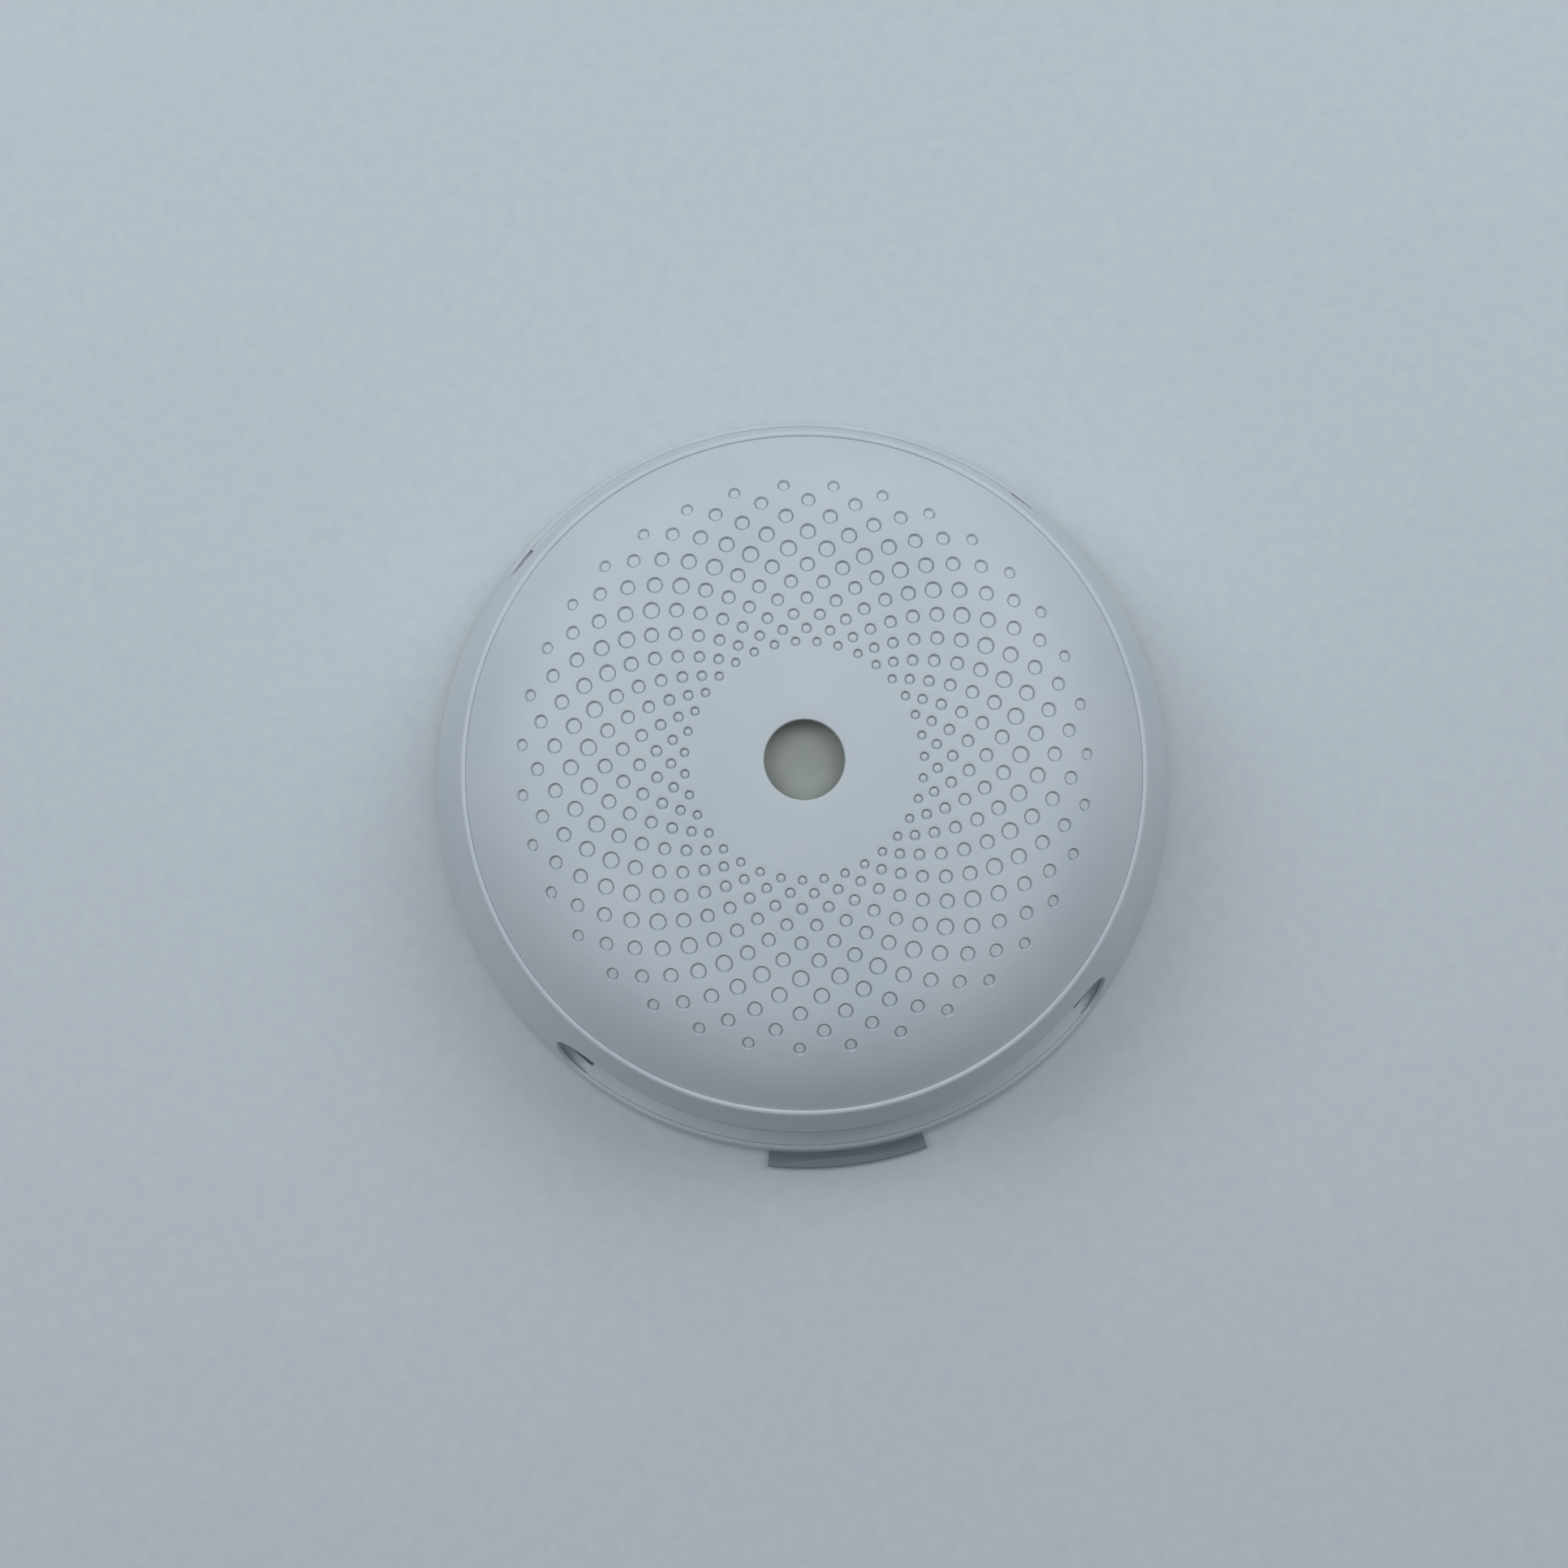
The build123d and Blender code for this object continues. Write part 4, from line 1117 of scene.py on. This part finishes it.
def tinted_abs(name):
    """Tinted ABS that light enters a little: smoother than the housing, with soft shadows inside."""
    made, tree, shader = finish(name, {
        "IOR": 1.53, "Roughness": 0.33, "Subsurface Weight": 0.15, "Subsurface Scale": 0.5 * MM,
        "Subsurface Radius": (0.8, 1.0, 0.9),
    })
    place = add(tree, "ShaderNodeTexCoord").outputs["Object"]
    grain = add(
        tree, "ShaderNodeTexNoise", {"Scale": 1 / (BUTTON_GRAIN * MM), "Detail": 2.0}, {"Vector": place}
    )
    drift = add(
        tree, "ShaderNodeTexNoise", {"Scale": 1 / (BUTTON_DRIFT * MM), "Detail": 2.0}, {"Vector": place}
    )
    bump = add(
        tree, "ShaderNodeBump", {"Distance": BUTTON_GRAIN_DEPTH * MM}, {"Height": grain.outputs["Fac"]}
    )
    tint = two_tone(tree, drift.outputs["Fac"], BUTTON_TINT, BUTTON_TINT_SHADE)
    tree.links.new(tint, shader.inputs["Base Color"])
    tree.links.new(bump.outputs["Normal"], shader.inputs["Normal"])
    return made


crowned = []
for radius in (CROWN_R, 5.2, 4.0, 2.8, 1.6, 0.6):
    crowned.append((radius, BUTTON_TOP - CROWN * (radius / CROWN_R) ** 2))
button = turned("test_button_disc", [
    (STEM_R - 0.3, STEM_BOTTOM),
    (STEM_R, STEM_BOTTOM + 0.3),
    (STEM_R, BUTTON_BOTTOM),
    (BUTTON_R - 0.15, BUTTON_BOTTOM),
    (BUTTON_R, BUTTON_BOTTOM + 0.15),
    *arc(BUTTON_R - 0.5, BUTTON_TOP - CROWN - 0.55, 0.5, 0, 80, 6),
    *crowned,
], 96, closed=False)
smooth(button, 40)
fit(button, "button", "test_button", tinted_abs("tinted_abs_moulded"))


# ---- Button spring
# A light compression spring round the button's stem, between the turret and the disc.
# The same drawn stainless wire as the release springs.

BUTTON_SPRING_Z = (29.65, 32.65)
BUTTON_SPRING_R = 3.7
BUTTON_SPRING_WIRE = 0.45

spring_height = BUTTON_SPRING_Z[1] - BUTTON_SPRING_Z[0]
button_spring = coil_spring("button_spring_coil", spring_height, BUTTON_SPRING_R, BUTTON_SPRING_WIRE, 3)
settle(button_spring, (0, 0, BUTTON_SPRING_Z[0]))
fit(button_spring, "detector", "button_spring", spring_steel)
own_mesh(button_spring)


# ---- Floor
# The plain painted surface that the bracket lies against, such as a ceiling.
# Flat emulsion put on with a roller, which leaves a faint stipple and no shine.

PAINT = "#E9ECED"
PAINT_SHADE = "#E5E8EA"
FLOOR_SIZE = 3.0
STIPPLE = 2.5
STIPPLE_DEPTH = 0.02

start_alone()
bpy.ops.mesh.primitive_plane_add(size=FLOOR_SIZE)
floor = bpy.context.object
floor.name = "painted_floor"
paint, tree, shader = finish("flat_emulsion", {"Roughness": 0.8})
place = add(tree, "ShaderNodeTexCoord").outputs["Object"]
stipple = add(tree, "ShaderNodeTexNoise", {"Scale": 1 / (STIPPLE * MM), "Detail": 2.0}, {"Vector": place})
bump = add(tree, "ShaderNodeBump", {"Distance": STIPPLE_DEPTH * MM}, {"Height": stipple.outputs["Fac"]})
tree.links.new(two_tone(tree, stipple.outputs["Fac"], PAINT, PAINT_SHADE), shader.inputs["Base Color"])
tree.links.new(bump.outputs["Normal"], shader.inputs["Normal"])
floor.data.materials.append(paint)


# ---- Light
# A soft studio: a dome light that is brightest overhead, a softbox on each side and a weaker one beyond.
# All of it is slightly blue, so that the white plastic looks cool.

LIGHT_TINT = "#ECF6FF"
BACKDROP = "#C3CBD2"
DOME_STRENGTH = 0.54
DOME_EDGE = 0.5          # the dome light fades out at this height, 30 degrees above the floor

world = bpy.data.worlds.new("studio")
world.use_nodes = True
bpy.context.scene.world = world
tree = world.node_tree
dome = tree.nodes["Background"]
dome.inputs["Color"].default_value = linear(LIGHT_TINT)
way = add(tree, "ShaderNodeTexCoord").outputs["Generated"]
up = add(tree, "ShaderNodeSeparateXYZ", {}, {"Vector": way}).outputs["Z"]
fade = add(
    tree, "ShaderNodeMapRange",
    {"From Min": DOME_EDGE, "From Max": 1.0, "To Min": 0.0, "To Max": DOME_STRENGTH}, {"Value": up},
)
tree.links.new(fade.outputs["Result"], dome.inputs["Strength"])
backdrop = add(tree, "ShaderNodeBackground", {"Color": linear(BACKDROP), "Strength": 1.0})
seen = add(tree, "ShaderNodeLightPath").outputs["Is Camera Ray"]
both = add(tree, "ShaderNodeMixShader", {}, {0: seen, 1: dome.outputs[0], 2: backdrop.outputs[0]})
tree.links.new(both.outputs[0], tree.nodes["World Output"].inputs["Surface"])

# place, size and power of each softbox
for place, size, power in (
    ((-0.5, 0.3, 0.6), (0.5, 0.5), 1.91),
    ((0.5, 0.3, 0.6), (0.5, 0.5), 1.95),
    ((0.0, 0.9, 0.5), (0.8, 0.5), 0.78),
):
    bpy.ops.object.light_add(
        type="AREA", location=place, rotation=Vector(place).to_track_quat("Z", "Y").to_euler()
    )
    softbox = bpy.context.object.data
    softbox.shape = "RECTANGLE"
    softbox.size, softbox.size_y = size
    softbox.energy = power
    softbox.color = linear(LIGHT_TINT)[:3]
bpy.context.scene.view_settings.view_transform = "Standard"


# ---- Camera
# Almost straight down on the cover from about 24 cm, turned a little so that the release tab stands
# right of the middle.

LENS = 33.54
CAMERA_PLACE = (-4.35, -19.73, 242.9)
CAMERA_TURN = (4.61, 0.25, -6.75)

bpy.ops.object.camera_add(
    location=Vector(CAMERA_PLACE) * MM, rotation=[math.radians(angle) for angle in CAMERA_TURN]
)
camera = bpy.context.object
camera.data.lens = LENS
camera.data.sensor_width = 36
camera.data.clip_start = 0.01
bpy.context.scene.camera = camera
